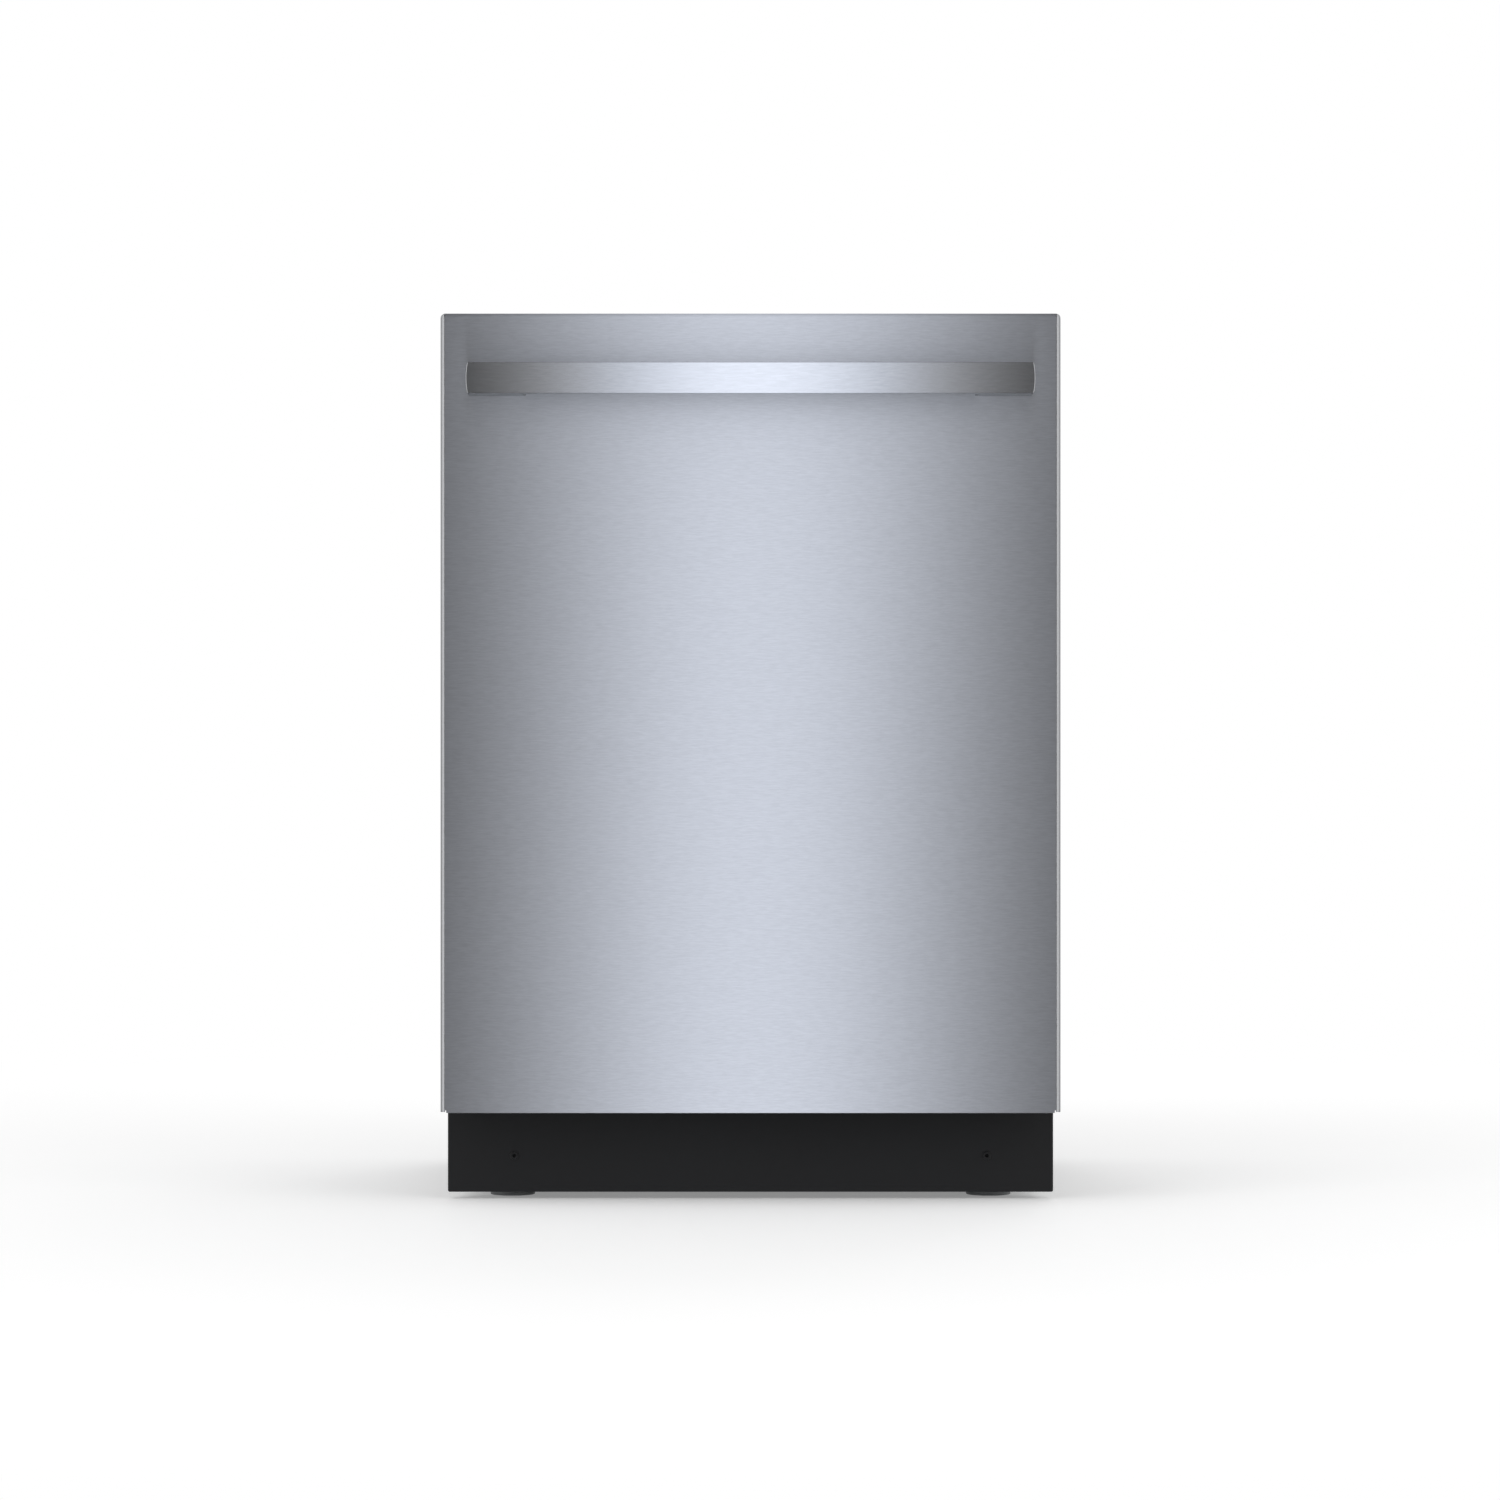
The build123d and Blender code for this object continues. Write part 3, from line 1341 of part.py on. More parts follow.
os.makedirs("parts", exist_ok=True)
shapes = {
    "door_skin": door_skin(),
    "door_liner": door_liner(),
    "door_insulation": door_insulation(),
    "bottom_seal": bottom_seal(),
    "handle_bar": handle_bar(),
    "handle_posts": handle_posts(),
    "handle_screws": handle_screws(),
    "control_panel": control_panel(),
    "display_window": display_window(),
    "control_board": control_board(),
    "latch_housing": latch_housing(),
    "latch_striker": latch_striker(),
    "hinge_arms": hinge_arms(),
    "hinge_brackets": hinge_brackets(),
    "dispenser_body": dispenser_body(),
    "dispenser_cover": dispenser_cover(),
    "rinse_aid_cap": rinse_aid_cap(),
    "base_pan": base_pan(),
    "door_springs": door_springs(),
    "kick_plate": kick_plate(),
    "kick_plate_screws": kick_plate_screws(),
    "tub_wrapper": tub_wrapper(),
    "tub_back": tub_back(),
    "tub_floor": tub_floor(),
    "door_gasket": door_gasket(),
    "side_panel_right": side_panel(),
    "side_panel_left": left_of(side_panel()),
    "tub_insulation": tub_insulation(),
    "rear_insulation": rear_insulation(),
    "counter_brackets": counter_brackets(),
    "sump": sump(),
    "filter_plate": filter_plate(),
    "filter_cup": filter_cup(),
    "circulation_pump": circulation_pump(),
    "drain_pump": drain_pump(),
    "inlet_valve": inlet_valve(),
    "drain_outlet": drain_outlet(),
    "water_duct": water_duct(),
    "ceiling_sprayer": ceiling_sprayer(),
    "junction_box": junction_box(),
    "rack_tracks": rack_tracks(),
    "upper_rails": upper_rails(),
    "upper_rack": upper_rack(),
    "upper_feed_pipe": upper_feed_pipe(),
    "middle_spray_arm": spray_arm(middle_arm_radius, middle_arm_z),
    "lower_spray_arm": spray_arm(lower_arm_radius, lower_arm_z),
    "lower_rack": lower_rack(),
    "lower_wheels_front": wheel_pair(wheel_places()[0]),
    "lower_wheels_rear": wheel_pair(wheel_places()[1]),
    "tine_row_left": tine_row(tine_left_index),
    "tine_row_right": tine_row(tine_right_index),
    "cutlery_basket": cutlery_basket(),
    "third_rack": third_rack(),
}
for name, x in zip(button_names, button_places):
    shapes[name + "_button"] = push_button(x)
for name, place in zip(("foot_front_left", "foot_front_right", "foot_rear"), foot_places()):
    shapes[name] = levelling_foot(*place)
for name, shape in shapes.items():
    export_step(shape, "parts/" + name + ".step")
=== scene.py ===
import json
import math
import bmesh
import bpy
import numpy as np
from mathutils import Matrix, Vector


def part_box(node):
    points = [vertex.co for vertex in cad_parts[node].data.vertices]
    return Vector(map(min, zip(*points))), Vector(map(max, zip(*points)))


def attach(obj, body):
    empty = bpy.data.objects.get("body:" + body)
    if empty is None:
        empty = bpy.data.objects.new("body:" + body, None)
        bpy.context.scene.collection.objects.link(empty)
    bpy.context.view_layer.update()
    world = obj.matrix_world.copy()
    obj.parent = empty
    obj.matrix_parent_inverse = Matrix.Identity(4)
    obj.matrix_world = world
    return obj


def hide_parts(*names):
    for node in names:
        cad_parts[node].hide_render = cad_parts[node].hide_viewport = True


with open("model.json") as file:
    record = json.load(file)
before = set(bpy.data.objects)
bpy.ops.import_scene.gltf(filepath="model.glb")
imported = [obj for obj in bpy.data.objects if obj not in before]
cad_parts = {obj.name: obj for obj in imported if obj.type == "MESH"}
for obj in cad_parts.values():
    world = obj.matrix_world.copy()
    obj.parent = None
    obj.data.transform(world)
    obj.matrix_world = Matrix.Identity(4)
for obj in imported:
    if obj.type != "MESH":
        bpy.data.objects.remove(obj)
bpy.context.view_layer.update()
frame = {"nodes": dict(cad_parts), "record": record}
nodes = frame["nodes"]
scene = bpy.context.scene
mm = 0.001

# Studio: white surroundings, a tall strip light that only gloss sees, soft lamps and a pale floor
studio = {
    "cameraPlace": (-0.0005, -5.2805, 0.439), "lens": 124.5, "sensor": 36.0, "sight": 60.0,
    "floorSize": 30.0, "floorColour": (0.82, 0.82, 0.82), "floorLift": 0.24, "floorFade": (0.9, 2.2),
    "ambient": 0.62, "behind": 0.4, "behindFrom": (-0.3, 0.1),
    "stripRadius": 2.5, "stripCentre": 0.4, "stripArc": (-100, 110), "stripCuts": 71, "stripHalf": 1.02,
    "stripWidth": 0.204, "stripShift": 0.004, "stripPeak": 1.62, "stripTop": 0.6, "stripDim": (2.0, 2.7),
    "stripMiddle": (0.925, 0.965, 1.06), "stripEdge": (1.02, 1.0, 0.98), "stripTint": 0.6,
    "lampAim": (0.0, 0.0, 0.4),
    "lamps": (
        ("keyLamp", (-2.6, -3.6, 3.2), 3.0, 60.0),
        ("fillLamp", (2.8, -3.4, 2.4), 3.0, 45.0),
        ("backLamp", (0.4, 3.4, 3.0), 3.0, 50.0),
    ),
}


# Quads of an nu by nv grid of points; a closed direction joins its last row to its first
def gridQuads(nu, nv, closeU=False, closeV=False):
    a, b = np.meshgrid(np.arange(nu - (not closeU)), np.arange(nv - (not closeV)), indexing="ij")
    c, d = (a + 1) % nu, (b + 1) % nv
    return np.stack([a * nv + b, c * nv + b, c * nv + d, a * nv + d], -1).reshape(-1, 4)


# The same for closed rings of count points carried through rows, with a flat cap at each end
def cappedRings(rows, count):
    sides = gridQuads(rows, count, False, True)[:, ::-1].tolist()
    return sides + [list(range(count))[::-1], [(rows - 1) * count + i for i in range(count)]]


# Unit directions along a run of points
def headings(run, closed=False):
    ahead = np.roll(run, -1, 0) - np.roll(run, 1, 0) if closed else np.gradient(run, axis=0)
    return ahead / np.linalg.norm(ahead, axis=1)[:, None]


# Distance along a run at each of its points
def runLength(run):
    return np.concatenate([[0], np.cumsum(np.linalg.norm(np.diff(run, axis=0), axis=1))])


# Corners of a run of points turned into arcs; one radius for all the corners or one for each
def roundRun(points, radius, steps=6, closed=False):
    points = np.asarray(points, float)
    count = len(points)
    radius = np.broadcast_to(radius, count)
    run = []
    for i in range(count):
        if radius[i] <= 0 or (not closed and i in (0, count - 1)):
            run.append(points[i:i + 1])
            continue
        back, ahead = points[i - 1] - points[i], points[(i + 1) % count] - points[i]
        back, ahead = back / np.linalg.norm(back), ahead / np.linalg.norm(ahead)
        half = math.acos(np.clip(back @ ahead, -1, 1)) / 2
        middle = (back + ahead) / np.linalg.norm(back + ahead) * radius[i] / math.sin(half)
        reach = radius[i] / math.tan(half)
        turn = math.pi - 2 * half
        t = np.linspace(0, 1, steps)[:, None] * turn
        first, last = back * reach - middle, ahead * reach - middle
        run.append(points[i] + middle + (np.sin(turn - t) * first + np.sin(t) * last) / math.sin(turn))
    return np.concatenate(run)


# Round wire: a circle carried along a run; flat is the direction square to the run's plane, and open ends
# are domed
def wireTube(run, radius, flat, sides=10, closed=False):
    run = np.asarray(run, float)
    ahead = headings(run, closed)
    flat = np.broadcast_to(np.asarray(flat, float), run.shape)
    size = np.full(len(run), radius)
    if not closed:
        dome = np.radians([0, 30, 60, 90])
        rings = len(dome)
        back = radius * (1 - np.cos(dome))[:, None]
        run = np.concatenate([run[0] + back * ahead[0], run[1:-1], (run[-1] - back * ahead[-1])[::-1]])
        size = np.concatenate([radius * np.sin(dome), size[1:-1], radius * np.sin(dome)[::-1]])
        flat = np.concatenate([np.repeat(flat[:1], rings, 0), flat[1:-1], np.repeat(flat[-1:], rings, 0)])
        ahead = np.concatenate([np.repeat(ahead[:1], rings, 0), ahead[1:-1], np.repeat(ahead[-1:], rings, 0)])
    turn = np.linspace(0, 2 * math.pi, sides, endpoint=False)[None, :, None]
    side = np.cross(ahead, flat)
    ring = np.cos(turn) * flat[:, None] + np.sin(turn) * side[:, None]
    return run[:, None] + ring * size[:, None, None], gridQuads(len(run), sides, closed, True)[:, ::-1]


# A closed outline carried through rows of (inset, height), with a flat cap at each end; axes gives the
# outline's two directions and the height's, as three of "xyz" in turning order
def loft(outline, rows, axes="xyz"):
    outline = np.asarray(outline, float)
    step = np.roll(outline, -1, 0) - outline
    if np.sum(outline[:, 0] * np.roll(outline[:, 1], -1) - outline[:, 1] * np.roll(outline[:, 0], -1)) < 0:
        return loft(outline[::-1], rows, axes)
    out = np.stack([step[:, 1], -step[:, 0]], -1) / np.linalg.norm(step, axis=1)[:, None]
    before = np.roll(out, 1, 0)
    out = (out + before) / (1 + np.sum(out * before, -1))[:, None]
    rows = np.asarray(rows, float)
    flat = outline - rows[:, 0, None, None] * out
    points = np.concatenate([flat, np.broadcast_to(rows[:, 1, None, None], flat.shape[:2] + (1,))], -1)
    order = [axes.index(a) for a in "xyz"]
    return points[:, :, order], cappedRings(len(rows), len(outline))


# Rows for a block with round edges: quarter circles at the low end and at the high end
def softRows(low, high, radius, steps=5, between=0):
    t = np.linspace(0, math.pi / 2, steps)
    first = np.stack([radius * (1 - np.sin(t)), low + radius * (1 - np.cos(t))], -1)
    last = np.stack([radius * (1 - np.sin(t)), high - radius * (1 - np.cos(t))], -1)[::-1]
    middle = np.linspace(low + radius, high - radius, between + 2)[1:-1]
    return np.concatenate([first, np.stack([0 * middle, middle], -1), last])


# A profile of (radius, distance along the axis) turned about an axis through centre
def turned(profile, centre, axis, sides=32):
    profile = np.asarray(profile, float)
    along = np.eye(3)["xyz".index(axis)]
    first, second = np.roll(along, 1), np.roll(along, 2)
    turn = np.linspace(0, 2 * math.pi, sides, endpoint=False)[None, :, None]
    ring = np.cos(turn) * first + np.sin(turn) * second
    points = np.asarray(centre) + profile[:, 0, None, None] * ring + profile[:, 1, None, None] * along
    return points, gridQuads(len(profile), sides, False, True)[:, ::-1]


# Puts whole arrays into one mesh object; parts is a list of (points, faces), in millimetres
def makePiece(name, parts, material, smooth=True, weld=1e-6, unit=mm):
    points = np.concatenate([p.reshape(-1, 3) for p, f in parts]) * unit
    starts = np.cumsum([0] + [p.size // 3 for p, f in parts[:-1]])
    faces = []
    for (p, f), start in zip(parts, starts):
        faces += [[i + int(start) for i in row] for row in (f.tolist() if isinstance(f, np.ndarray) else f)]
    mesh = bpy.data.meshes.new(name)
    mesh.from_pydata(points.tolist(), [], faces)
    mesh.update()
    if weld:
        bm = bmesh.new()
        bm.from_mesh(mesh)
        bmesh.ops.remove_doubles(bm, verts=bm.verts, dist=weld)
        bmesh.ops.dissolve_degenerate(bm, edges=bm.edges, dist=weld)
        bm.to_mesh(mesh)
        bm.free()
    mesh.polygons.foreach_set("use_smooth", [smooth] * len(mesh.polygons))
    mesh.materials.append(material)
    piece = bpy.data.objects.new(name, mesh)
    scene.collection.objects.link(piece)
    return piece


# Gives a single surface the thickness of its sheet, on its inner side
def thicken(piece, thickness):
    sheet = piece.modifiers.new("sheet", "SOLIDIFY")
    sheet.thickness = thickness * mm
    sheet.offset = -1


# Flat faces keep flat shading up to their round edges
def evenShade(piece):
    even = piece.modifiers.new("flatFaces", "WEIGHTED_NORMAL")
    even.mode = "FACE_AREA"
    even.weight = 100


# A piece stands for CAD nodes: it hides them and rides on their body
def standFor(piece, body, slot, *names):
    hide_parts(*names)
    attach(piece, body)


# Layer that follows the brushing: along X first, then up, sheared so that no side of the piece is left
# without it
def brushUv(piece):
    mesh = piece.data
    layer = mesh.uv_layers.new(name="brush")
    place = np.empty(len(mesh.vertices) * 3)
    mesh.vertices.foreach_get("co", place)
    corner = np.empty(len(mesh.loops), dtype=np.int32)
    mesh.loops.foreach_get("vertex_index", corner)
    x, y, z = place.reshape(-1, 3)[corner].T
    layer.uv.foreach_set("vector", np.stack([x + y, z + y], -1).ravel())


# Node helpers
def newMaterial(name):
    material = bpy.data.materials.new(name)
    material.use_nodes = True
    return material, material.node_tree, material.node_tree.nodes["Principled BSDF"]


def addNode(tree, kind, **values):
    node = tree.nodes.new(kind)
    for key, value in values.items():
        if key.startswith("in_"):
            node.inputs[key[3:].replace("_", " ")].default_value = value
        else:
            setattr(node, key, value)
    return node


# Object coordinates in metres, scaled and then moved
def scaledPlace(tree, scale, shift=(0.0, 0.0, 0.0)):
    coords = addNode(tree, "ShaderNodeTexCoord")
    mapping = addNode(tree, "ShaderNodeMapping", in_Scale=scale, in_Location=shift)
    tree.links.new(coords.outputs["Object"], mapping.inputs["Vector"])
    return mapping.outputs["Vector"]


def stretchedNoise(tree, scale, detail=4.0, roughness=0.6):
    noise = addNode(tree, "ShaderNodeTexNoise", in_Scale=1.0, in_Detail=detail, in_Roughness=roughness)
    tree.links.new(scaledPlace(tree, scale), noise.inputs["Vector"])
    return noise.outputs["Fac"]


def ranged(tree, value, low, high, first=0.25, last=0.75):
    node = addNode(tree, "ShaderNodeMapRange", in_From_Min=first, in_From_Max=last,
                   in_To_Min=low, in_To_Max=high)
    tree.links.new(value, node.inputs["Value"])
    return node.outputs["Result"]


def tinted(tree, value, dark, light):
    ramp = addNode(tree, "ShaderNodeMix", data_type="RGBA")
    tree.links.new(value, ramp.inputs["Factor"])
    ramp.inputs["A"].default_value = (*dark, 1)
    ramp.inputs["B"].default_value = (*light, 1)
    return ramp.outputs["Result"]


def bumped(tree, value, strength, distance):
    bump = addNode(tree, "ShaderNodeBump", in_Strength=strength, in_Distance=distance)
    tree.links.new(value, bump.inputs["Height"])
    return bump.outputs["Normal"]


def shades(colour, spread):
    return tuple(c * (1 - spread) for c in colour), tuple(min(c * (1 + spread), 1.0) for c in colour)


# Grain of the finishes: detail of the noise, spread of shade and gloss, strength and depth of the bump
steelGrain = {"detail": 5.0, "blend": 0.65, "gloss": 0.008, "bump": 0.03, "depth": 0.0002, "turn": 0.25}
mouldGrain = {"detail": 3.0, "cloud": (9.0, 9.0, 9.0), "shade": 0.08, "gloss": 0.04, "depth": 0.0004}
zincGrain = {
    "shade": 0.05, "gloss": 0.05, "speck": (500.0, 500.0, 500.0), "detail": 3.0,
    "bump": 0.04, "depth": 0.0003,
}
feltGrain = {
    "fibre": (420.0, 900.0, 600.0), "fibreDetail": 6.0, "fibreBlend": 0.75, "fleckFrom": (0.45, 0.72),
    "clump": (60.0, 60.0, 60.0), "clumpDetail": 5.0, "clumpBlend": 0.7, "clumpLeast": 0.3,
    "bump": 0.7, "depth": 0.0015, "rough": 0.95, "specular": 0.2, "sheen": 0.25,
}


# Brushed sheet: fine streaks along the brushing, with the gloss spread square to it
def brushedSteel(name, colour, roughness, anisotropy, streak, spread=0.05, metallic=1.0):
    material, tree, shader = newMaterial(name)
    grain = steelGrain
    lines = stretchedNoise(tree, streak, grain["detail"], grain["blend"])
    level = ranged(tree, lines, 0.0, 1.0)
    tree.links.new(tinted(tree, level, *shades(colour, spread)), shader.inputs["Base Color"])
    gloss = ranged(tree, lines, roughness - grain["gloss"], roughness + grain["gloss"])
    tree.links.new(gloss, shader.inputs["Roughness"])
    tree.links.new(bumped(tree, lines, grain["bump"], grain["depth"]), shader.inputs["Normal"])
    shader.inputs["Metallic"].default_value = metallic
    shader.inputs["Anisotropic"].default_value = anisotropy
    if anisotropy:
        tangent = addNode(tree, "ShaderNodeTangent", direction_type="UV_MAP", uv_map="brush")
        tree.links.new(tangent.outputs["Tangent"], shader.inputs["Tangent"])
        shader.inputs["Anisotropic Rotation"].default_value = grain["turn"]
    return material


# Moulded or coated surface: a colour with a fine grain in its bump and slow clouds in its colour and gloss
def mouldedFinish(name, colour, roughness, grain=900.0, bump=0.03, specular=0.5):
    material, tree, shader = newMaterial(name)
    mould = mouldGrain
    speckle = stretchedNoise(tree, (grain, grain, grain), mould["detail"])
    cloud = stretchedNoise(tree, mould["cloud"], mould["detail"])
    tree.links.new(tinted(tree, cloud, *shades(colour, mould["shade"])), shader.inputs["Base Color"])
    gloss = ranged(tree, cloud, roughness - mould["gloss"], roughness + mould["gloss"])
    tree.links.new(gloss, shader.inputs["Roughness"])
    tree.links.new(bumped(tree, speckle, bump, mould["depth"]), shader.inputs["Normal"])
    shader.inputs["Specular IOR Level"].default_value = specular
    return material


# Galvanised sheet: crystals of zinc as cells, each with its own shade and gloss
def galvanised(name, colour, roughness, cells):
    material, tree, shader = newMaterial(name)
    zinc = zincGrain
    flake = addNode(tree, "ShaderNodeTexVoronoi", in_Scale=1.0, in_Randomness=1.0)
    tree.links.new(scaledPlace(tree, (cells, cells, cells)), flake.inputs["Vector"])
    shade = addNode(tree, "ShaderNodeSeparateColor")
    tree.links.new(flake.outputs["Color"], shade.inputs["Color"])
    tinge = tinted(tree, shade.outputs["Red"], *shades(colour, zinc["shade"]))
    tree.links.new(tinge, shader.inputs["Base Color"])
    gloss = ranged(tree, shade.outputs["Green"], roughness - zinc["gloss"], roughness + zinc["gloss"], 0, 1)
    tree.links.new(gloss, shader.inputs["Roughness"])
    speck = stretchedNoise(tree, zinc["speck"], zinc["detail"])
    tree.links.new(bumped(tree, speck, zinc["bump"], zinc["depth"]), shader.inputs["Normal"])
    shader.inputs["Metallic"].default_value = 1.0
    return material


# Pressed felt: short fibres in two sizes, flecked light and dark
def pressedFelt(name, colour, fleck):
    material, tree, shader = newMaterial(name)
    grain = feltGrain
    fibre = stretchedNoise(tree, grain["fibre"], grain["fibreDetail"], grain["fibreBlend"])
    clump = stretchedNoise(tree, grain["clump"], grain["clumpDetail"], grain["clumpBlend"])
    level = addNode(tree, "ShaderNodeMath", operation="MULTIPLY")
    tree.links.new(ranged(tree, fibre, 0.0, 1.0, *grain["fleckFrom"]), level.inputs[0])
    tree.links.new(ranged(tree, clump, grain["clumpLeast"], 1.0), level.inputs[1])
    tree.links.new(tinted(tree, level.outputs[0], colour, fleck), shader.inputs["Base Color"])
    height = addNode(tree, "ShaderNodeMath", operation="ADD")
    tree.links.new(fibre, height.inputs[0])
    tree.links.new(clump, height.inputs[1])
    tree.links.new(bumped(tree, height.outputs[0], grain["bump"], grain["depth"]), shader.inputs["Normal"])
    shader.inputs["Roughness"].default_value = grain["rough"]
    shader.inputs["Specular IOR Level"].default_value = grain["specular"]
    shader.inputs["Sheen Weight"].default_value = grain["sheen"]
    return material


finishes = {
    "door_steel": brushedSteel("doorSteel", (0.61, 0.62, 0.64), 0.385, 1.0, (100.0, 600.0, 800.0), 0.092),
    "tub_steel": brushedSteel("tubSteel", (0.74, 0.745, 0.75), 0.4, 0.0, (30.0, 30.0, 900.0), 0.05, 0.85),
    "zinc_plate": galvanised("zincPlate", (0.50, 0.515, 0.53), 0.42, 130.0),
    "black_plate": mouldedFinish("blackPlate", (0.0085, 0.0085, 0.009), 0.5, 1600.0, 0.06, 0.3),
    "base_plastic": mouldedFinish("basePlastic", (0.03, 0.031, 0.033), 0.55),
    "grey_plastic": mouldedFinish("greyPlastic", (0.30, 0.315, 0.335), 0.42),
    "rack_coat": mouldedFinish("rackCoat", (0.36, 0.375, 0.40), 0.32, 500.0, 0.02),
    "seal_rubber": mouldedFinish("sealRubber", (0.035, 0.035, 0.037), 0.6),
    "felt": pressedFelt("pressedFelt", (0.022, 0.022, 0.024), (0.13, 0.13, 0.135)),
    "panel_plastic": mouldedFinish("panelPlastic", (0.03, 0.031, 0.034), 0.35),
    "window": mouldedFinish("windowPlastic", (0.006, 0.006, 0.008), 0.08, 50.0, 0.0),
    "button_plastic": mouldedFinish("buttonPlastic", (0.30, 0.31, 0.33), 0.35),
    "board": mouldedFinish("boardGreen", (0.02, 0.12, 0.05), 0.5),
    "box_metal": galvanised("boxMetal", (0.42, 0.43, 0.45), 0.4, 160.0),
}
handleSteel = brushedSteel("handleSteel", (0.556, 0.568, 0.588), 0.17, 1.0, (100.0, 600.0, 800.0), 0.072)
for entry in frame["record"]["subparts"]:
    node = nodes[entry["node"]]
    node.data.materials.clear()
    node.data.materials.append(finishes[entry["material_slot"]])
print("finishes set on", len(nodes), "nodes")

# Camera straight in front
eye = bpy.data.cameras.new("photoCamera")
eye.lens, eye.sensor_width = studio["lens"], studio["sensor"]
eye.clip_end = studio["sight"]
camera = bpy.data.objects.new("photoCamera", eye)
camera.location = studio["cameraPlace"]
camera.rotation_euler = (math.pi / 2, 0, 0)
scene.collection.objects.link(camera)
scene.camera = camera
scene.view_settings.view_transform = "Standard"

# Surroundings: white to the eye, a plain level for diffuse light; gloss sees white in front and grey behind
world = bpy.data.worlds.new("studioWorld")
scene.world = world
world.use_nodes = True
tree = world.node_tree
backdrop = tree.nodes["Background"]
backdrop.inputs["Color"].default_value = (1, 1, 1, 1)
path = addNode(tree, "ShaderNodeLightPath")
coords = addNode(tree, "ShaderNodeTexCoord")
split = addNode(tree, "ShaderNodeSeparateXYZ")
tree.links.new(coords.outputs["Generated"], split.inputs[0])
gloss = addNode(tree, "ShaderNodeMix")
gloss.inputs["A"].default_value = 1.0
tree.links.new(path.outputs["Is Glossy Ray"], gloss.inputs["Factor"])
darker = ranged(tree, split.outputs["Y"], 1.0, studio["behind"], *studio["behindFrom"])
tree.links.new(darker, gloss.inputs["B"])
level = addNode(tree, "ShaderNodeMix")
level.inputs["B"].default_value = studio["ambient"]
tree.links.new(path.outputs["Is Diffuse Ray"], level.inputs["Factor"])
tree.links.new(gloss.outputs["Result"], level.inputs["A"])
tree.links.new(level.outputs["Result"], backdrop.inputs["Strength"])

# Soft lamps, turned towards the object
for name, place, size, power in studio["lamps"]:
    lamp = bpy.data.lights.new(name, "AREA")
    lamp.size, lamp.energy = size, power
    holder = bpy.data.objects.new(name, lamp)
    holder.location = place
    aim = np.array(studio["lampAim"]) - np.array(place)
    tilt = math.acos(aim[2] / np.linalg.norm(aim)) + math.pi
    holder.rotation_euler = (tilt, 0, math.atan2(aim[1], aim[0]) + math.pi / 2)
    holder.visible_glossy = False
    scene.collection.objects.link(holder)

# Floor: takes the shadow near the object and fades to plain white farther out
floorMaterial, tree, shader = newMaterial("paleFloor")
shader.inputs["Base Color"].default_value = (*studio["floorColour"], 1)
shader.inputs["Roughness"].default_value = 0.9
shader.inputs["Specular IOR Level"].default_value = 0.0
shader.inputs["Emission Color"].default_value = (1, 1, 1, 1)
path = addNode(tree, "ShaderNodeLightPath")
lift = addNode(tree, "ShaderNodeMath", operation="MULTIPLY")
lift.inputs[1].default_value = studio["floorLift"]
tree.links.new(path.outputs["Is Camera Ray"], lift.inputs[0])
tree.links.new(lift.outputs[0], shader.inputs["Emission Strength"])
white = addNode(tree, "ShaderNodeEmission")
tree.links.new(path.outputs["Is Camera Ray"], white.inputs["Strength"])
away = addNode(tree, "ShaderNodeVectorMath", operation="LENGTH")
tree.links.new(scaledPlace(tree, (1.0, 1.0, 1.0)), away.inputs[0])
fade = addNode(tree, "ShaderNodeMixShader")
tree.links.new(ranged(tree, away.outputs["Value"], 0.0, 1.0, *studio["floorFade"]), fade.inputs["Fac"])
tree.links.new(shader.outputs["BSDF"], fade.inputs[1])
tree.links.new(white.outputs["Emission"], fade.inputs[2])
tree.links.new(fade.outputs["Shader"], tree.nodes["Material Output"].inputs["Surface"])
half = studio["floorSize"] / 2
floorPoints = np.array([(-half, -half, 0), (half, -half, 0), (half, half, 0), (-half, half, 0)])
floor = makePiece("studioFloor", [(floorPoints, [(0, 1, 2, 3)])], floorMaterial, False, 0, 1.0)
floor.visible_glossy = False

# Strip light: an arch round the object; its glow and its tint fall off across X as a bell curve,
# exp(-u u / 2), and it dims overhead
stripMaterial = bpy.data.materials.new("stripGlow")
stripMaterial.use_nodes = True
tree = stripMaterial.node_tree
tree.nodes.clear()
split = addNode(tree, "ShaderNodeSeparateXYZ")
bellScale = 1 / studio["stripWidth"]
bellShift = (-studio["stripShift"] * bellScale, 0.0, 0.0)
tree.links.new(scaledPlace(tree, (bellScale, 1.0, 1.0), bellShift), split.inputs[0])
square = addNode(tree, "ShaderNodeMath", operation="MULTIPLY")
halved = addNode(tree, "ShaderNodeMath", operation="MULTIPLY")
halved.inputs[1].default_value = -0.5
bell = addNode(tree, "ShaderNodeMath", operation="EXPONENT")
glow = addNode(tree, "ShaderNodeMath", operation="MULTIPLY")
emission = addNode(tree, "ShaderNodeEmission")
output = addNode(tree, "ShaderNodeOutputMaterial")
tree.links.new(split.outputs["X"], square.inputs[0])
tree.links.new(split.outputs["X"], square.inputs[1])
tree.links.new(square.outputs[0], halved.inputs[0])
tree.links.new(halved.outputs[0], bell.inputs[0])
tree.links.new(bell.outputs[0], glow.inputs[0])
overhead = studio["stripPeak"] * studio["stripTop"]
dimmed = ranged(tree, split.outputs["Z"], studio["stripPeak"], overhead, *studio["stripDim"])
tree.links.new(dimmed, glow.inputs[1])
tint = ranged(tree, bell.outputs[0], 0.0, 1.0, 0.0, studio["stripTint"])
tree.links.new(tinted(tree, tint, studio["stripEdge"], studio["stripMiddle"]), emission.inputs["Color"])
tree.links.new(glow.outputs[0], emission.inputs["Strength"])
tree.links.new(emission.outputs[0], output.inputs["Surface"])
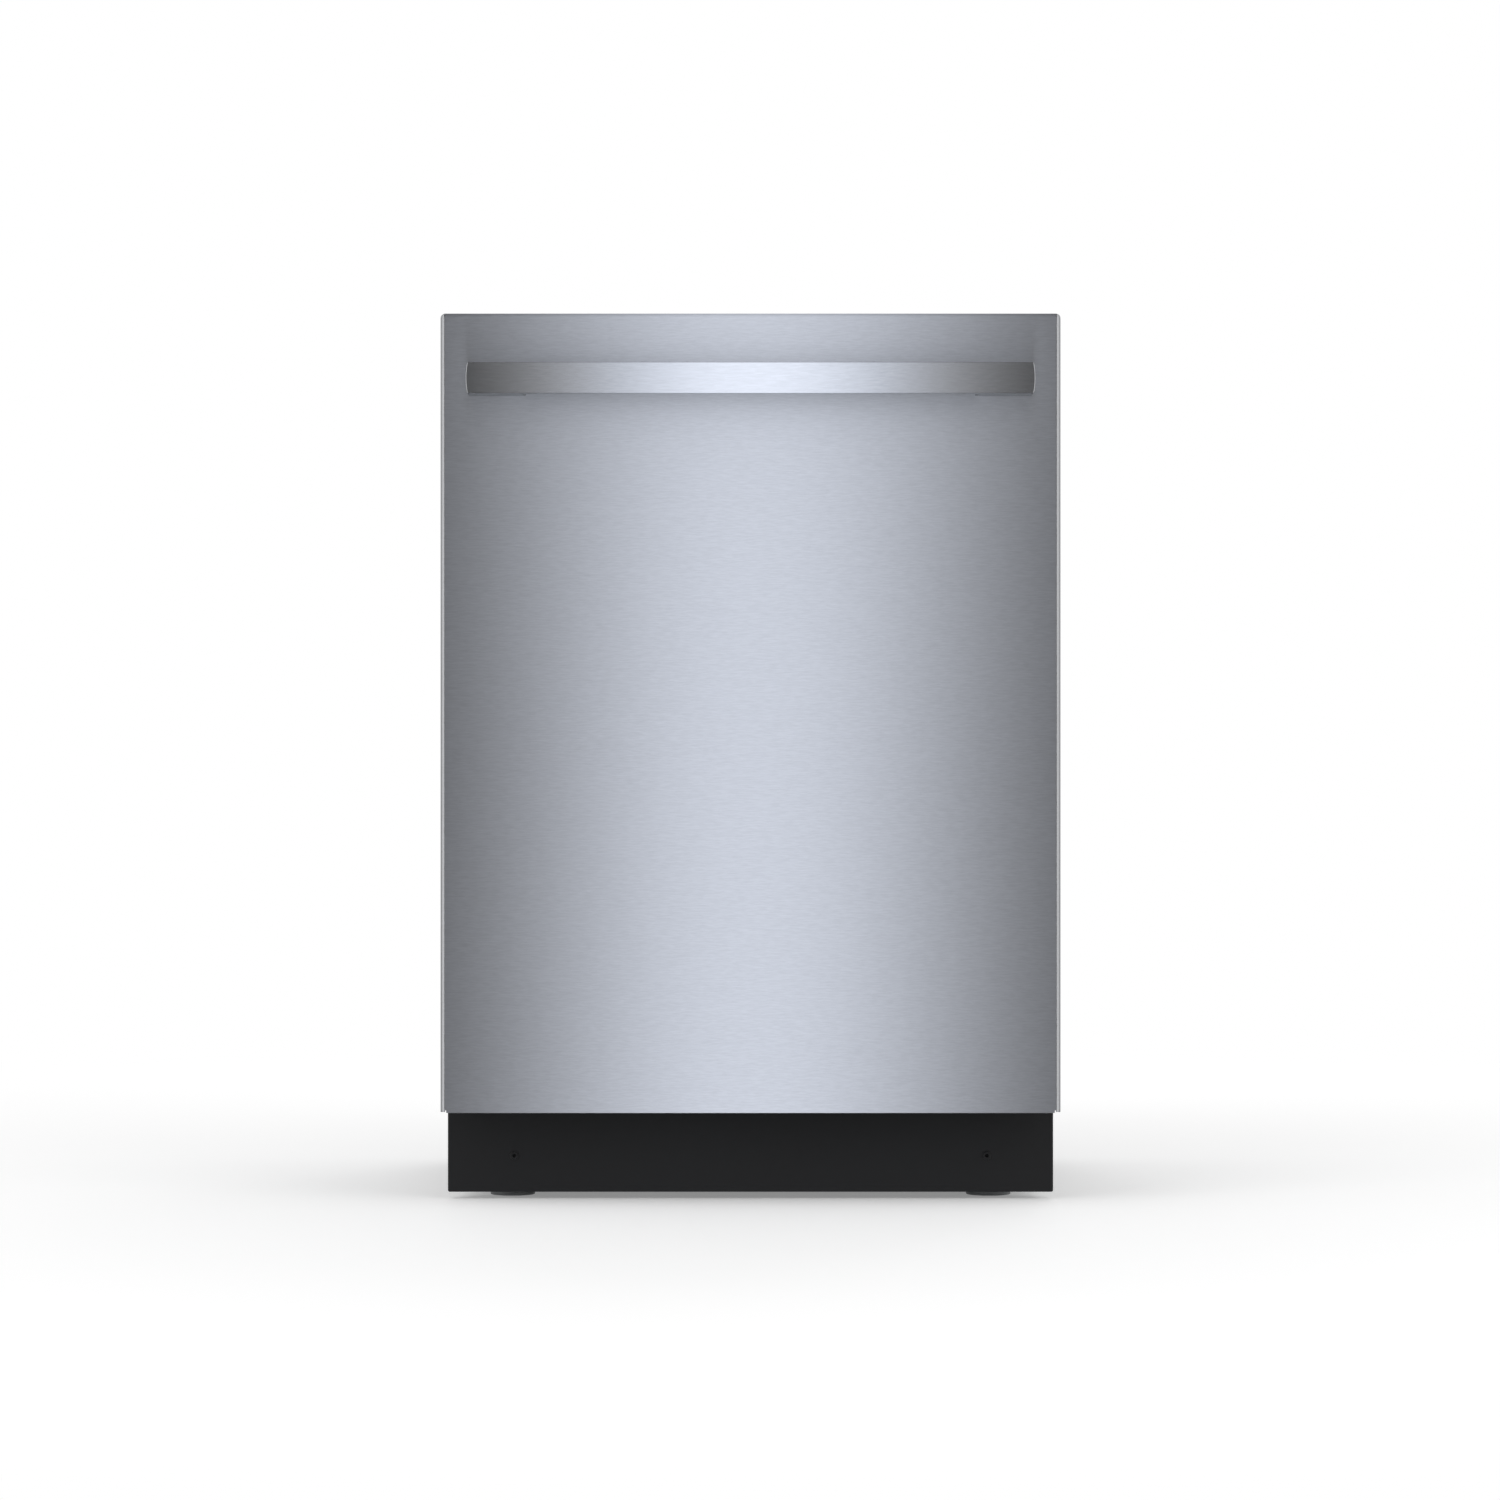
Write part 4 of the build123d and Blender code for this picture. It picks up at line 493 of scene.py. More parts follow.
# It runs from below the front over the top
turn = np.radians(np.linspace(*studio["stripArc"], studio["stripCuts"]))
across = np.linspace(-studio["stripHalf"], studio["stripHalf"], 3)
t, x = np.meshgrid(turn, across, indexing="ij")
radius, centre = studio["stripRadius"], studio["stripCentre"]
arch = np.stack([x, -radius * np.cos(t), centre + radius * np.sin(t)], -1)
strip = makePiece("stripLight", [(arch, gridQuads(*t.shape))], stripMaterial, True, 0, 1.0)
strip.visible_camera = strip.visible_diffuse = strip.visible_shadow = strip.visible_transmission = False
print("studio ready")

# Folded door panel, in the CAD node's box
doorPanel = {
    "bend": 4.5, "sheet": 1.0, "steps": 10, "bottomBend": 1.5, "bottomFlange": 8.0, "topFlange": 10.0,
    "topFrom": 0.7, "cornerLift": 1.0, "reliefWidth": 1.2, "reliefHeight": 2.6,
}


# A bend profile (quarter circle, then a straight flange) carried up one side, over the top and down the
# other; the flat face fills the rectangle inside the bends, and a small bend closes the bottom edge
def doorPanelParts(values, low, high):
    r, b, n = values["bend"], values["bottomBend"], values["steps"]
    quarter = np.linspace(0, math.pi / 2, n)
    reach = np.append(r * np.sin(quarter), r)
    left, right, top = low[0] + r, high[0] - r, high[2] - r
    notch, foot = low[2] + values["reliefHeight"], low[2] + values["cornerLift"]
    cornerL, cornerR = np.linspace(math.pi, math.pi / 2, n), np.linspace(math.pi / 2, 0, n)
    pathX = np.concatenate([[left, left], left + 0 * cornerL, right + 0 * cornerR, [right, right]])
    pathZ = np.concatenate([[foot, notch], top + 0 * cornerL, top + 0 * cornerR, [notch, foot]])
    outX = np.concatenate([[-1, -1], np.cos(cornerL), np.cos(cornerR), [1, 1]])
    outZ = np.concatenate([[0, 0], np.sin(cornerL), np.sin(cornerR), [0, 0]])
    depth = np.tile(np.append(r * (1 - np.cos(quarter)), high[1] - low[1]), (len(pathX), 1))
    depth[outZ > values["topFrom"], -1] = values["topFlange"]
    edgeX, edgeZ = (path[:, None] + out[:, None] * reach for path, out in ((pathX, outX), (pathZ, outZ)))
    edge = np.stack([edgeX, low[1] + depth, edgeZ], -1)
    drop = np.append(b * (1 - np.cos(quarter)), values["bottomFlange"])
    rise = np.append(b * (1 - np.sin(quarter)), 0.0)
    ends = np.array([left + values["reliefWidth"], right - values["reliefWidth"]])
    bottom = np.stack(np.broadcast_arrays(ends[:, None], low[1] + drop, low[2] + rise), -1)
    hem = low[2] + b
    outline = [(ends[0], hem), (ends[1], hem), (ends[1], notch), (right, notch),
               (right, top), (left, top), (left, notch), (ends[0], notch)]
    face = np.array([(x, low[1], z) for x, z in outline])
    folds = [(edge, gridQuads(len(pathX), n + 1)), (bottom, gridQuads(2, n + 1)[:, ::-1])]
    return folds + [(face, [list(range(len(outline)))])]


skinLow, skinHigh = (np.array(c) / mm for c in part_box("door_skin"))
panel = makePiece("doorPanel", doorPanelParts(doorPanel, skinLow, skinHigh), finishes["door_steel"])
brushUv(panel)
thicken(panel, doorPanel["sheet"])
evenShade(panel)
standFor(panel, "door", "door_steel", "door_skin")
print("door panel built")

# Bridge handle: the bar bows forward and runs into its posts without a seam
handle = {
    "bow": 2.0, "bowPoints": 41, "bar": 12.0, "post": 55.0, "lean": 5.0, "edge": 1.2, "edgeSteps": 7,
    "between": 6, "endCorner": 0.8, "innerCorner": 4.0, "cornerSteps": 7, "bulge": 1.5,
}
barLow, barHigh = (np.array(c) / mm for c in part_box("handle_bar"))
doorFace = skinLow[1]


# Plan of the handle as one outline: door side, the inner sides of the posts, the bowed front; then carried
# up with round edges, and its ends bulge as a parabola in the height
def handleParts(values):
    end, frontY = barHigh[0], barLow[1]
    backY, endY = frontY + values["bar"] + values["bow"], frontY + values["bow"]
    x = np.linspace(end, -end, values["bowPoints"])[1:-1]
    bowed = np.stack([x, frontY + values["bow"] * (x / end) ** 2], -1)
    inner = end - values["post"]
    lean = inner + values["lean"]
    corners = [(-end, doorFace), (-inner, doorFace), (-lean, backY), (lean, backY),
               (inner, doorFace), (end, doorFace), (end, endY)]
    radius = [0, 0, values["innerCorner"], values["innerCorner"], 0, 0, values["endCorner"]]
    plan = np.concatenate([corners, bowed, [(-end, endY)]])
    radius = np.concatenate([radius, np.zeros(len(bowed)), [values["endCorner"]]])
    outline = roundRun(plan, radius, values["cornerSteps"], True)
    rows = softRows(barLow[2], barHigh[2], values["edge"], values["edgeSteps"], values["between"])
    points, faces = loft(outline, rows)
    middle, tall = (barLow[2] + barHigh[2]) / 2, (barHigh[2] - barLow[2]) / 2
    points[..., 0] *= 1 - values["bulge"] / end * ((points[..., 2] - middle) / tall) ** 2
    return [(points, faces)]


bridge = makePiece("bridgeHandle", handleParts(handle), handleSteel)
brushUv(bridge)
evenShade(bridge)
standFor(bridge, "door", "door_steel", "handle_bar", "handle_posts")
print("handle built")

# Kick plate screws: a low domed head with a socket
kickScrew = {
    "head": 4.4, "rise": 1.6, "rim": 0.35, "crownDrop": 0.25, "socket": 1.7, "socketDepth": 3.4,
    "socketBevel": (0.15, 0.12), "socketTaper": 0.92, "shank": 2.0,
}


# Profile turned about the screw's axis: shank, round rim, a crown as a parabola, then the socket
def screwParts(values, x, face, tail, z):
    t = np.linspace(0, math.pi / 2, 7)
    head, rise, socket, shank = (values[key] for key in ("head", "rise", "socket", "shank"))
    rim, drop, bevel = values["rim"], values["crownDrop"], values["socketBevel"]
    edge, floor = head - rim, rise - values["socketDepth"]
    dome = np.stack([edge + rim * np.sin(t), rise * (1 - drop) * np.cos(t)], -1)
    across = np.linspace(socket + bevel[0], edge, 6)
    crown = np.stack([across, rise * (1 - drop * ((across - socket) / (edge - socket)) ** 2)], -1)
    behind = [(0, -tail), (shank, -tail), (shank, 0), (head, 0)]
    hole = [(socket, rise - bevel[1]), (socket * values["socketTaper"], floor), (0, floor)]
    profile = np.concatenate([behind, dome[::-1], crown[::-1], hole])
    profile[:, 1] *= -1
    return turned(profile[::-1], (x, face, z), "y", 28)


screwLow, screwHigh = (np.array(c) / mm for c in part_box("kick_plate_screws"))
screwX, screwZ = screwHigh[0] - kickScrew["head"], (screwLow[2] + screwHigh[2]) / 2
screwFace = screwLow[1] + kickScrew["rise"]
screwTail = screwHigh[1] - screwFace
screwPair = [screwParts(kickScrew, x, screwFace, screwTail, screwZ) for x in (-screwX, screwX)]
screwFinish = mouldedFinish("blackScrew", (0.0085, 0.0085, 0.009), 0.45, 1200.0, 0.03, 0.3)
screws = makePiece("kickScrews", screwPair, screwFinish)
standFor(screws, "cabinet", "black_plate", "kick_plate_screws")
print("kick plate screws built")

# Racks: bent and welded round wire
wire = {
    "radius": 2.0, "bend": 18.0, "front": -178.0, "back": 270.0, "inset": 16.0, "weld": 0.02,
    "tineRadius": 1.6, "tineFront": -110.0, "tineBack": 230.0, "rodReach": 12.0, "rodGap": 0.2,
}
lowerRack = {
    "half": 256.0, "floor": 224.0, "top": 396.0, "loop": 320.0, "across": 10, "along": 11,
    "bracketHalf": 14.0, "bracket": 3.0, "bracketRise": 36.0, "bracketCorner": 3.0, "bracketEdge": 0.6,
    "axleZ": 200.3, "axle": 3.9, "axleLength": 8.8, "axleBevel": (0.6, 0.8), "wheels": (4, 8),
    "tineRows": (3, 5), "tines": 9, "tineHeight": 78.0,
}
upperRack = {
    "half": 240.0, "floor": 478.0, "top": 602.0, "across": 10, "along": 9,
    "tineRow": 2, "tines": 8, "tineHeight": 60.0, "railZ": 566.0, "hanger": (50.0, 245.0),
    "hangerWall": 4.0, "hangerInner": 4.4, "hangerReach": 265.4, "hangerCorner": 0.9, "hangerEdge": 0.6,
}
thirdRack = {
    "half": 246.0, "floor": 752.0, "top": 786.0, "across": 8, "along": 13,
    "runnerHalf": 4.0, "runnerOut": 275.8, "runnerZ": 760.0, "runnerCorner": 1.5,
}


def wirePlaces(first, last, count):
    return np.linspace(first + wire["inset"], last - wire["inset"], count)


def loopPart(half, front, back, z):
    corners = [(-half, front, z), (half, front, z), (half, back, z), (-half, back, z)]
    return wireTube(roundRun(corners, wire["bend"], 8, True), wire["radius"], (0, 0, 1), 10, True)


# A basket: U wires across below, U wires lengthwise on them, and a rim loop on all the ends
def basketParts(values):
    r, front, back = wire["radius"], wire["front"], wire["back"]
    half, floor, legs = values["half"], values["floor"], values["top"] - r - wire["weld"]
    deck = floor + 2 * r + wire["weld"]
    parts = []
    for y in wirePlaces(front, back, values["across"]):
        run = [(-half, y, legs), (-half, y, floor), (half, y, floor), (half, y, legs)]
        parts.append(wireTube(roundRun(run, wire["bend"], 8), r, (0, 1, 0)))
    for x in wirePlaces(-half, half, values["along"]):
        run = [(x, front, legs), (x, front, deck), (x, back, deck), (x, back, legs)]
        parts.append(wireTube(roundRun(run, wire["bend"], 8), r, (1, 0, 0)))
    return parts + [loopPart(half, front, back, values["top"])]


def tineParts(x, foot, height, count):
    places = np.linspace(wire["tineFront"], wire["tineBack"], count)
    return [wireTube([(x, y, foot), (x, y, foot + height)], wire["tineRadius"], (1, 0, 0)) for y in places]


# The same part on the other side: mirrored in X with the faces turned round
def mirrored(part):
    points, faces = part
    return points * np.array((-1, 1, 1)), [list(row)[::-1] for row in faces]


# Lower rack: basket, outer loop, and a bracket with an axle for each wheel
def lowerRackParts(values):
    parts = basketParts(values)
    step = 2 * (wire["radius"] + wire["weld"])
    parts.append(loopPart(values["half"] + step, wire["front"] - step, wire["back"] + step, values["loop"]))
    inner = values["half"] + wire["radius"] + wire["weld"]
    outer = inner + values["bracket"]
    half, axleZ, high = values["bracketHalf"], values["axleZ"], values["floor"] + values["bracketRise"]
    low = axleZ - half / 2
    r, long, (near, far) = values["axle"], values["axleLength"], values["axleBevel"]
    pinProfile = [(0, 0), (r - near, 0), (r, near), (r, long - far), (r - far, long), (0, long)]
    for i in values["wheels"]:
        y = wirePlaces(wire["front"], wire["back"], values["across"])[i]
        outline = [(y - half / 2, low), (y + half / 2, low), (y + half, axleZ), (y + half, high),
                   (y - half, high), (y - half, axleZ)]
        outline = roundRun(outline, values["bracketCorner"], 5, True)
        plate = loft(outline, softRows(inner, outer, values["bracketEdge"], 3), "yzx")
        pin = turned(pinProfile, (outer, y, axleZ), "x", 24)
        parts += [plate, pin, mirrored(plate), mirrored(pin)]
    return parts


# Upper rack: basket, two fixed rows of tines, and a C-shaped hanger on each side that grips the rail
def upperRackParts(values):
    parts = basketParts(values)
    foot = values["floor"] + 3 * wire["radius"] + 2 * wire["weld"]
    row = wirePlaces(-values["half"], values["half"], values["along"])[values["tineRow"]]
    for x in (row, -row):
        parts += tineParts(x, foot, values["tineHeight"], values["tines"])
    start = values["half"] + wire["radius"] + wire["weld"]
    wall = start + values["hangerWall"] - wire["radius"]
    inner, end = values["hangerInner"], values["hangerReach"]
    outer = inner + values["hangerWall"]
    grip = [(outer, start), (outer, end), (inner, end), (inner, wall),
            (-inner, wall), (-inner, end), (-outer, end), (-outer, start)]
    outline = roundRun([(values["railZ"] + h, x) for h, x in grip], values["hangerCorner"], 4, True)
    hanger = loft(outline, softRows(*values["hanger"], values["hangerEdge"], 3), "zxy")
    return parts + [hanger, mirrored(hanger)]


# Third rack: a shallow basket with a runner on each side
def thirdRackParts(values):
    start = values["half"] + wire["radius"] + wire["weld"]
    end, half, z, corner = (values[key] for key in ("runnerOut", "runnerHalf", "runnerZ", "runnerCorner"))
    outline = [(z - half, start), (z + half, start), (z + half, end), (z - half, end)]
    rows = softRows(wire["front"], wire["back"], corner, 4)
    runner = loft(roundRun(outline, corner, 5, True), rows, "zxy")
    return basketParts(values) + [runner, mirrored(runner)]


# Folding row: a rod in its clips and the tines on it
def tineRowParts(values, index):
    x = wirePlaces(-values["half"], values["half"], values["along"])[index]
    z = values["floor"] + 4 * wire["radius"] + wire["weld"] + wire["rodGap"]
    run = [(x, wire["tineFront"] - wire["rodReach"], z), (x, wire["tineBack"] + wire["rodReach"], z)]
    rod = wireTube(run, wire["radius"], (1, 0, 0))
    return [rod] + tineParts(x, z + wire["radius"] + wire["weld"], values["tineHeight"], values["tines"])


for name, parts, node in (
        ("lowerRackWires", lowerRackParts(lowerRack), "lower_rack"),
        ("upperRackWires", upperRackParts(upperRack), "upper_rack"),
        ("thirdRackWires", thirdRackParts(thirdRack), "third_rack"),
        ("tineRowLeft", tineRowParts(lowerRack, lowerRack["tineRows"][0]), "tine_row_left"),
        ("tineRowRight", tineRowParts(lowerRack, lowerRack["tineRows"][1]), "tine_row_right")):
    piece = makePiece(name, parts, finishes["rack_coat"])
    evenShade(piece)
    standFor(piece, node, "rack_coat", node)
print("racks built")

# Wheels of the lower rack: a rounded tyre, a sunk web and a hub
wheel = {
    "radius": 17.0, "width": 8.0, "bore": 4.0, "hub": 7.0, "rim": 13.5, "sunk": 2.0, "slope": 0.5,
    "soft": 1.5, "gap": 0.4,
}


# Half section of a wheel, turned about its axle: bore, hub face, sunk web, rim face, tyre and back again
def wheelPart(values, x, y, z):
    r, w, s = values["radius"], values["width"], values["soft"]
    bore, hub, rim, sunk, slope = (values[key] for key in ("bore", "hub", "rim", "sunk", "slope"))
    t = np.linspace(0, math.pi / 2, 5)
    lowEdge = np.stack([r - s + s * np.sin(t), s - s * np.cos(t)], -1)
    highEdge = np.stack([r - s + s * np.cos(t), w - s + s * np.sin(t)], -1)
    web = [(bore, 0), (hub, 0), (hub + slope, sunk), (rim - slope, sunk), (rim, 0)]
    far = [(a, w - b) for a, b in web[::-1]]
    return turned(np.concatenate([web, lowEdge, highEdge, far, web[:1]]), (x, y, z), "x", 40)


wheelX = lowerRack["half"] + wire["radius"] + wire["weld"] + lowerRack["bracket"] + wheel["gap"]
for name, index, node in (("wheelsFront", 0, "lower_wheels_front"), ("wheelsRear", 1, "lower_wheels_rear")):
    y = wirePlaces(wire["front"], wire["back"], lowerRack["across"])[lowerRack["wheels"][index]]
    part = wheelPart(wheel, wheelX, y, lowerRack["axleZ"])
    piece = makePiece(name, [part, mirrored(part)], finishes["grey_plastic"])
    evenShade(piece)
    standFor(piece, node, "grey_plastic", node)
print("wheels built")

# Counterbalance springs: a close coil of wire with a hook at each end
spring = {"wire": 0.9, "turns": 84, "perTurn": 14, "hook": 4.5, "hookTurn": 1.8, "hookPoints": 20}
springLow, springHigh = (np.array(c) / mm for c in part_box("door_springs"))


# Helix about Y: the angle grows with the distance along; a hook is most of a circle in the upright plane
def springParts(values):
    thick, h = values["wire"], values["hook"]
    radius = (springHigh[2] - springLow[2]) / 2 - thick
    x, z = springHigh[0] - radius - thick, (springLow[2] + springHigh[2]) / 2
    start, end = springLow[1] + 2 * h, springHigh[1] - 2 * h
    t = np.linspace(0, 1, values["turns"] * values["perTurn"])
    angle = 2 * math.pi * values["turns"] * t
    out = np.stack([np.cos(angle), 0 * t, np.sin(angle)], -1)
    coil = np.array((x, 0, z)) + radius * out + np.stack([0 * t, start + (end - start) * t, 0 * t], -1)
    bend = np.linspace(0, values["hookTurn"] * math.pi, values["hookPoints"])
    hook = np.stack([x + 0 * bend, end + h - h * np.cos(bend), z + h * np.sin(bend)], -1)
    front = hook * np.array((1, -1, 1)) + np.array((0, start + end, 0))
    parts = [wireTube(coil, thick, out, 6)]
    parts += [wireTube(run, thick, (1, 0, 0), 8) for run in (hook, front)]
    return parts + [mirrored(part) for part in parts]


coils = makePiece("counterSprings", springParts(spring), finishes["zinc_plate"])
standFor(coils, "cabinet", "zinc_plate", "door_springs")
print("springs built")

# Levelling feet: a round pad, a spanner neck and a threaded stem
foot = {
    "pad": 22.0, "padHeight": 9.0, "padSoft": (1.0, 3.0), "neck": 9.0, "neckTop": 17.0, "neckSoft": 0.5,
    "stem": 5.0, "pitch": 1.5, "thread": 0.7, "top": 75.0, "tipHeight": 2.0, "tipTaper": 1.2,
}
footFinish = mouldedFinish("footFinish", (0.26, 0.265, 0.275), 0.5, 700.0, 0.04)
feet = {"footLeft": "foot_front_left", "footRight": "foot_front_right", "footRear": "foot_rear"}


# Pad and stem turned about Z, the thread as a saw-tooth in the radius; the neck is a six-sided loft
def footParts(values, x, y):
    t = np.linspace(0, math.pi / 2, 5)
    pad, high, (below, above) = values["pad"], values["padHeight"], values["padSoft"]
    low = np.stack([pad - below + below * np.sin(t), below - below * np.cos(t)], -1)
    upper = np.stack([pad - above + above * np.cos(t), high - above + above * np.sin(t)], -1)
    disc = np.concatenate([[(0, 0)], low, upper, [(0, high)]])
    stem, top, start = values["stem"], values["top"], values["neckTop"]
    count = int((top - start - values["tipHeight"]) / values["pitch"])
    half = np.arange(2 * count + 1)
    tooth = np.stack([stem - values["thread"] * (half % 2), start + values["pitch"] * half / 2], -1)
    bolt = np.concatenate([[(0, high), (stem, high)], tooth, [(stem - values["tipTaper"], top), (0, top)]])
    angle = np.radians(np.arange(6) * 60 + 30)
    corner = values["neck"] / math.cos(math.pi / 6)
    hexagon = np.stack([x + corner * np.cos(angle), y + corner * np.sin(angle)], -1)
    neck = loft(hexagon, softRows(high - values["neckSoft"], start, values["neckSoft"], 3))
    return [turned(disc, (x, y, 0), "z", 40), turned(bolt, (x, y, 0), "z", 20), neck]


for name, node in feet.items():
    footLow, footHigh = (np.array(c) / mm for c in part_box(node))
    centre = (footLow + footHigh) / 2
    piece = makePiece(name, footParts(foot, centre[0], centre[1]), footFinish)
    evenShade(piece)
    standFor(piece, node, "zinc_plate", node)
print("feet built")

# Felt pads: over the tub, behind it and inside the door
felt = {
    "tubThickness": 7.6, "tubBend": 20.0, "tubGap": 0.2, "rearThickness": 10.3, "doorThickness": 15.0,
    "soft": 3.0, "thinnest": 0.05, "step": 9.0, "endCuts": (0.0, 1.5, 3.0), "endLength": 6.0, "fill": 0.8,
    "dimple": 0.9, "sink": (0.8, 0.5), "slowWave": (31.0, 57.0, 27.0), "sway": 1.3, "phase": 0.7,
    "fastWave": (13.0, 17.0, 11.0), "fastShare": 0.6,
}


# A soft-edged slab section carried along a run; its two faces are dimpled by a slow wave that sways,
# sin(s/a + k sin(l/b)) sin(l/c + p), and a fast one, sin(s/a + l/b) sin(l/c); it thins at both ends
def feltParts(values, run, across, low, high, thickness):
    across, soft = np.asarray(across, float), values["soft"]
    out = np.cross(across, headings(run))
    count = int((high - low) / values["step"])
    s = np.linspace(low + soft, high - soft, count)
    t = np.linspace(0, math.pi, 7)[1:-1]
    rightS, rightH = high - soft + soft * np.sin(t), np.cos(t)
    ringS = np.concatenate([s, rightS, s[::-1], low + high - rightS])
    ringH = np.concatenate([np.ones(count), rightH, -np.ones(count), -rightH])
    length = runLength(run)[:, None]
    a, b, c = values["slowWave"]
    wave = np.sin(ringS / a + values["sway"] * np.sin(length / b)) * np.sin(length / c + values["phase"])
    a, b, c = values["fastWave"]
    wave += values["fastShare"] * np.sin(ringS / a + length / b) * np.sin(length / c)
    edge = np.minimum(length, length[-1] - length)
    squeeze = np.sqrt(np.clip(1 - (1 - edge / soft).clip(0, 1) ** 2, values["thinnest"], 1))
    sink, swing = values["sink"]
    height = ringH * (thickness / 2 - values["dimple"] * (sink + swing * wave)) * squeeze
    points = run[:, None] + ringS[..., None] * across + height[..., None] * out[:, None]
    return [(points, cappedRings(len(run), len(ringS)))]


# A run sampled at even steps, with closer ones at its ends
def stepped(points, values):
    points = np.asarray(points, float)
    length = runLength(points)
    total, near, start = length[-1], np.array(values["endCuts"]), values["endLength"]
    between = np.linspace(start, total - start, int(total / values["step"]))
    at = np.concatenate([near, between, total - near[::-1]])
    return np.stack([np.interp(at, length, points[:, i]) for i in range(3)], -1)


wrapLow, wrapHigh = (np.array(c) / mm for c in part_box("tub_insulation"))
inset = felt["tubThickness"] / 2
side, top = wrapHigh[0] - inset, wrapHigh[2] - inset - felt["tubGap"]
wrapCorners = [(-side, 0, wrapLow[2]), (-side, 0, top), (side, 0, top), (side, 0, wrapLow[2])]
wrapRun = stepped(roundRun(wrapCorners, felt["tubBend"], 10), felt)
wrapParts = feltParts(felt, wrapRun, (0, 1, 0), wrapLow[1], wrapHigh[1], felt["tubThickness"])
blanket = makePiece("tubBlanket", wrapParts, finishes["felt"])
standFor(blanket, "cabinet", "felt", "tub_insulation")
for name, node, body, thickness in (
        ("rearPad", "rear_insulation", "cabinet", felt["rearThickness"]),
        ("doorPad", "door_insulation", "door", felt["doorThickness"])):
    padLow, padHigh = (np.array(c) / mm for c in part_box(node))
    y = (padLow[1] + padHigh[1]) / 2
    run = stepped([(0, y, padLow[2]), (0, y, padHigh[2])], felt)
    parts = feltParts(felt, run, (1, 0, 0), padLow[0], padHigh[0], thickness)
    piece = makePiece(name, parts, finishes["felt"])
    standFor(piece, body, "felt", node)
print("felt pads built")

# Side panels: one sheet each, with upright ribs pressed inwards and folded edges
sidePanel = {
    "sheet": 1.0, "rib": 2.5, "ribWidth": 40.0, "ribShort": 120.0, "ribs": 3, "slope": 7.0, "bend": 2.0,
}


# Rib depth: smooth steps v v (3 - 2 v) in both directions; the face is a grid over Y and Z, and each fold
# is a quarter circle and a flange
def sidePanelParts(values, low, high):
    r, half, slope = values["bend"], values["ribWidth"] / 2, values["slope"]
    tall = high[2] - low[2] - values["ribShort"]
    middle = (low[2] + high[2]) / 2 + half
    centres = np.linspace(low[1] + 2 * half, high[1] - 2 * half, values["ribs"])
    ramp = np.linspace(0, slope, 8)
    sides = np.concatenate([centres[:, None] - half + ramp, centres[:, None] + half - ramp], 1).ravel()
    ends = np.concatenate([middle - tall / 2 + ramp, middle + tall / 2 - ramp])
    y = np.unique(np.concatenate([[low[1], high[1] - r], sides]))
    z = np.unique(np.concatenate([[low[2] + r, high[2] - r], ends]))
    yy, zz = np.meshgrid(y, z, indexing="ij")
    inY = np.clip((half - np.abs(yy[..., None] - centres)) / slope, 0, 1)
    inZ = np.clip((tall / 2 - np.abs(zz - middle)) / slope, 0, 1)
    smooth = [v * v * (3 - 2 * v) for v in (inY.max(-1), inZ)]
    face = np.stack([high[0] - values["rib"] * smooth[0] * smooth[1], yy, zz], -1)
    t = np.linspace(0, math.pi / 2, 7)
    foldX = np.append(high[0] - r * (1 - np.cos(t)), low[0])
    foldOut = np.append(r * np.sin(t), r)
    bottom = np.stack(np.broadcast_arrays(foldX, y[:, None], low[2] + r - foldOut), -1)
    top = np.stack(np.broadcast_arrays(foldX, y[:, None], high[2] - r + foldOut), -1)
    back = np.stack(np.broadcast_arrays(foldX, high[1] - r + foldOut, z[:, None]), -1)
    across, up, fold = len(y), len(z), len(foldX)
    return [(face, gridQuads(across, up)), (bottom, gridQuads(across, fold)[:, ::-1]),
            (top, gridQuads(across, fold)), (back, gridQuads(up, fold)[:, ::-1])]


sheetLow, sheetHigh = (np.array(c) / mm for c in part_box("side_panel_right"))
rightParts = sidePanelParts(sidePanel, sheetLow, sheetHigh)
leftParts = [mirrored(part) for part in rightParts]
for name, node, parts in (
        ("sidePanelRight", "side_panel_right", rightParts),
        ("sidePanelLeft", "side_panel_left", leftParts)):
    piece = makePiece(name, parts, finishes["zinc_plate"])
    thicken(piece, sidePanel["sheet"])
    evenShade(piece)
    standFor(piece, "cabinet", "zinc_plate", node)
print("side panels built")

# Door gasket: a bulb on a flat foot, up one side of the opening, over the top and down the other
gasket = {
    "width": 9.0, "corner": 6.0, "bulb": 3.0, "steps": 14, "lip": (1.4, 1.2), "lipDown": 2.6,
    "groove": (0.1, 2.7), "grooveDown": 3.6,
}


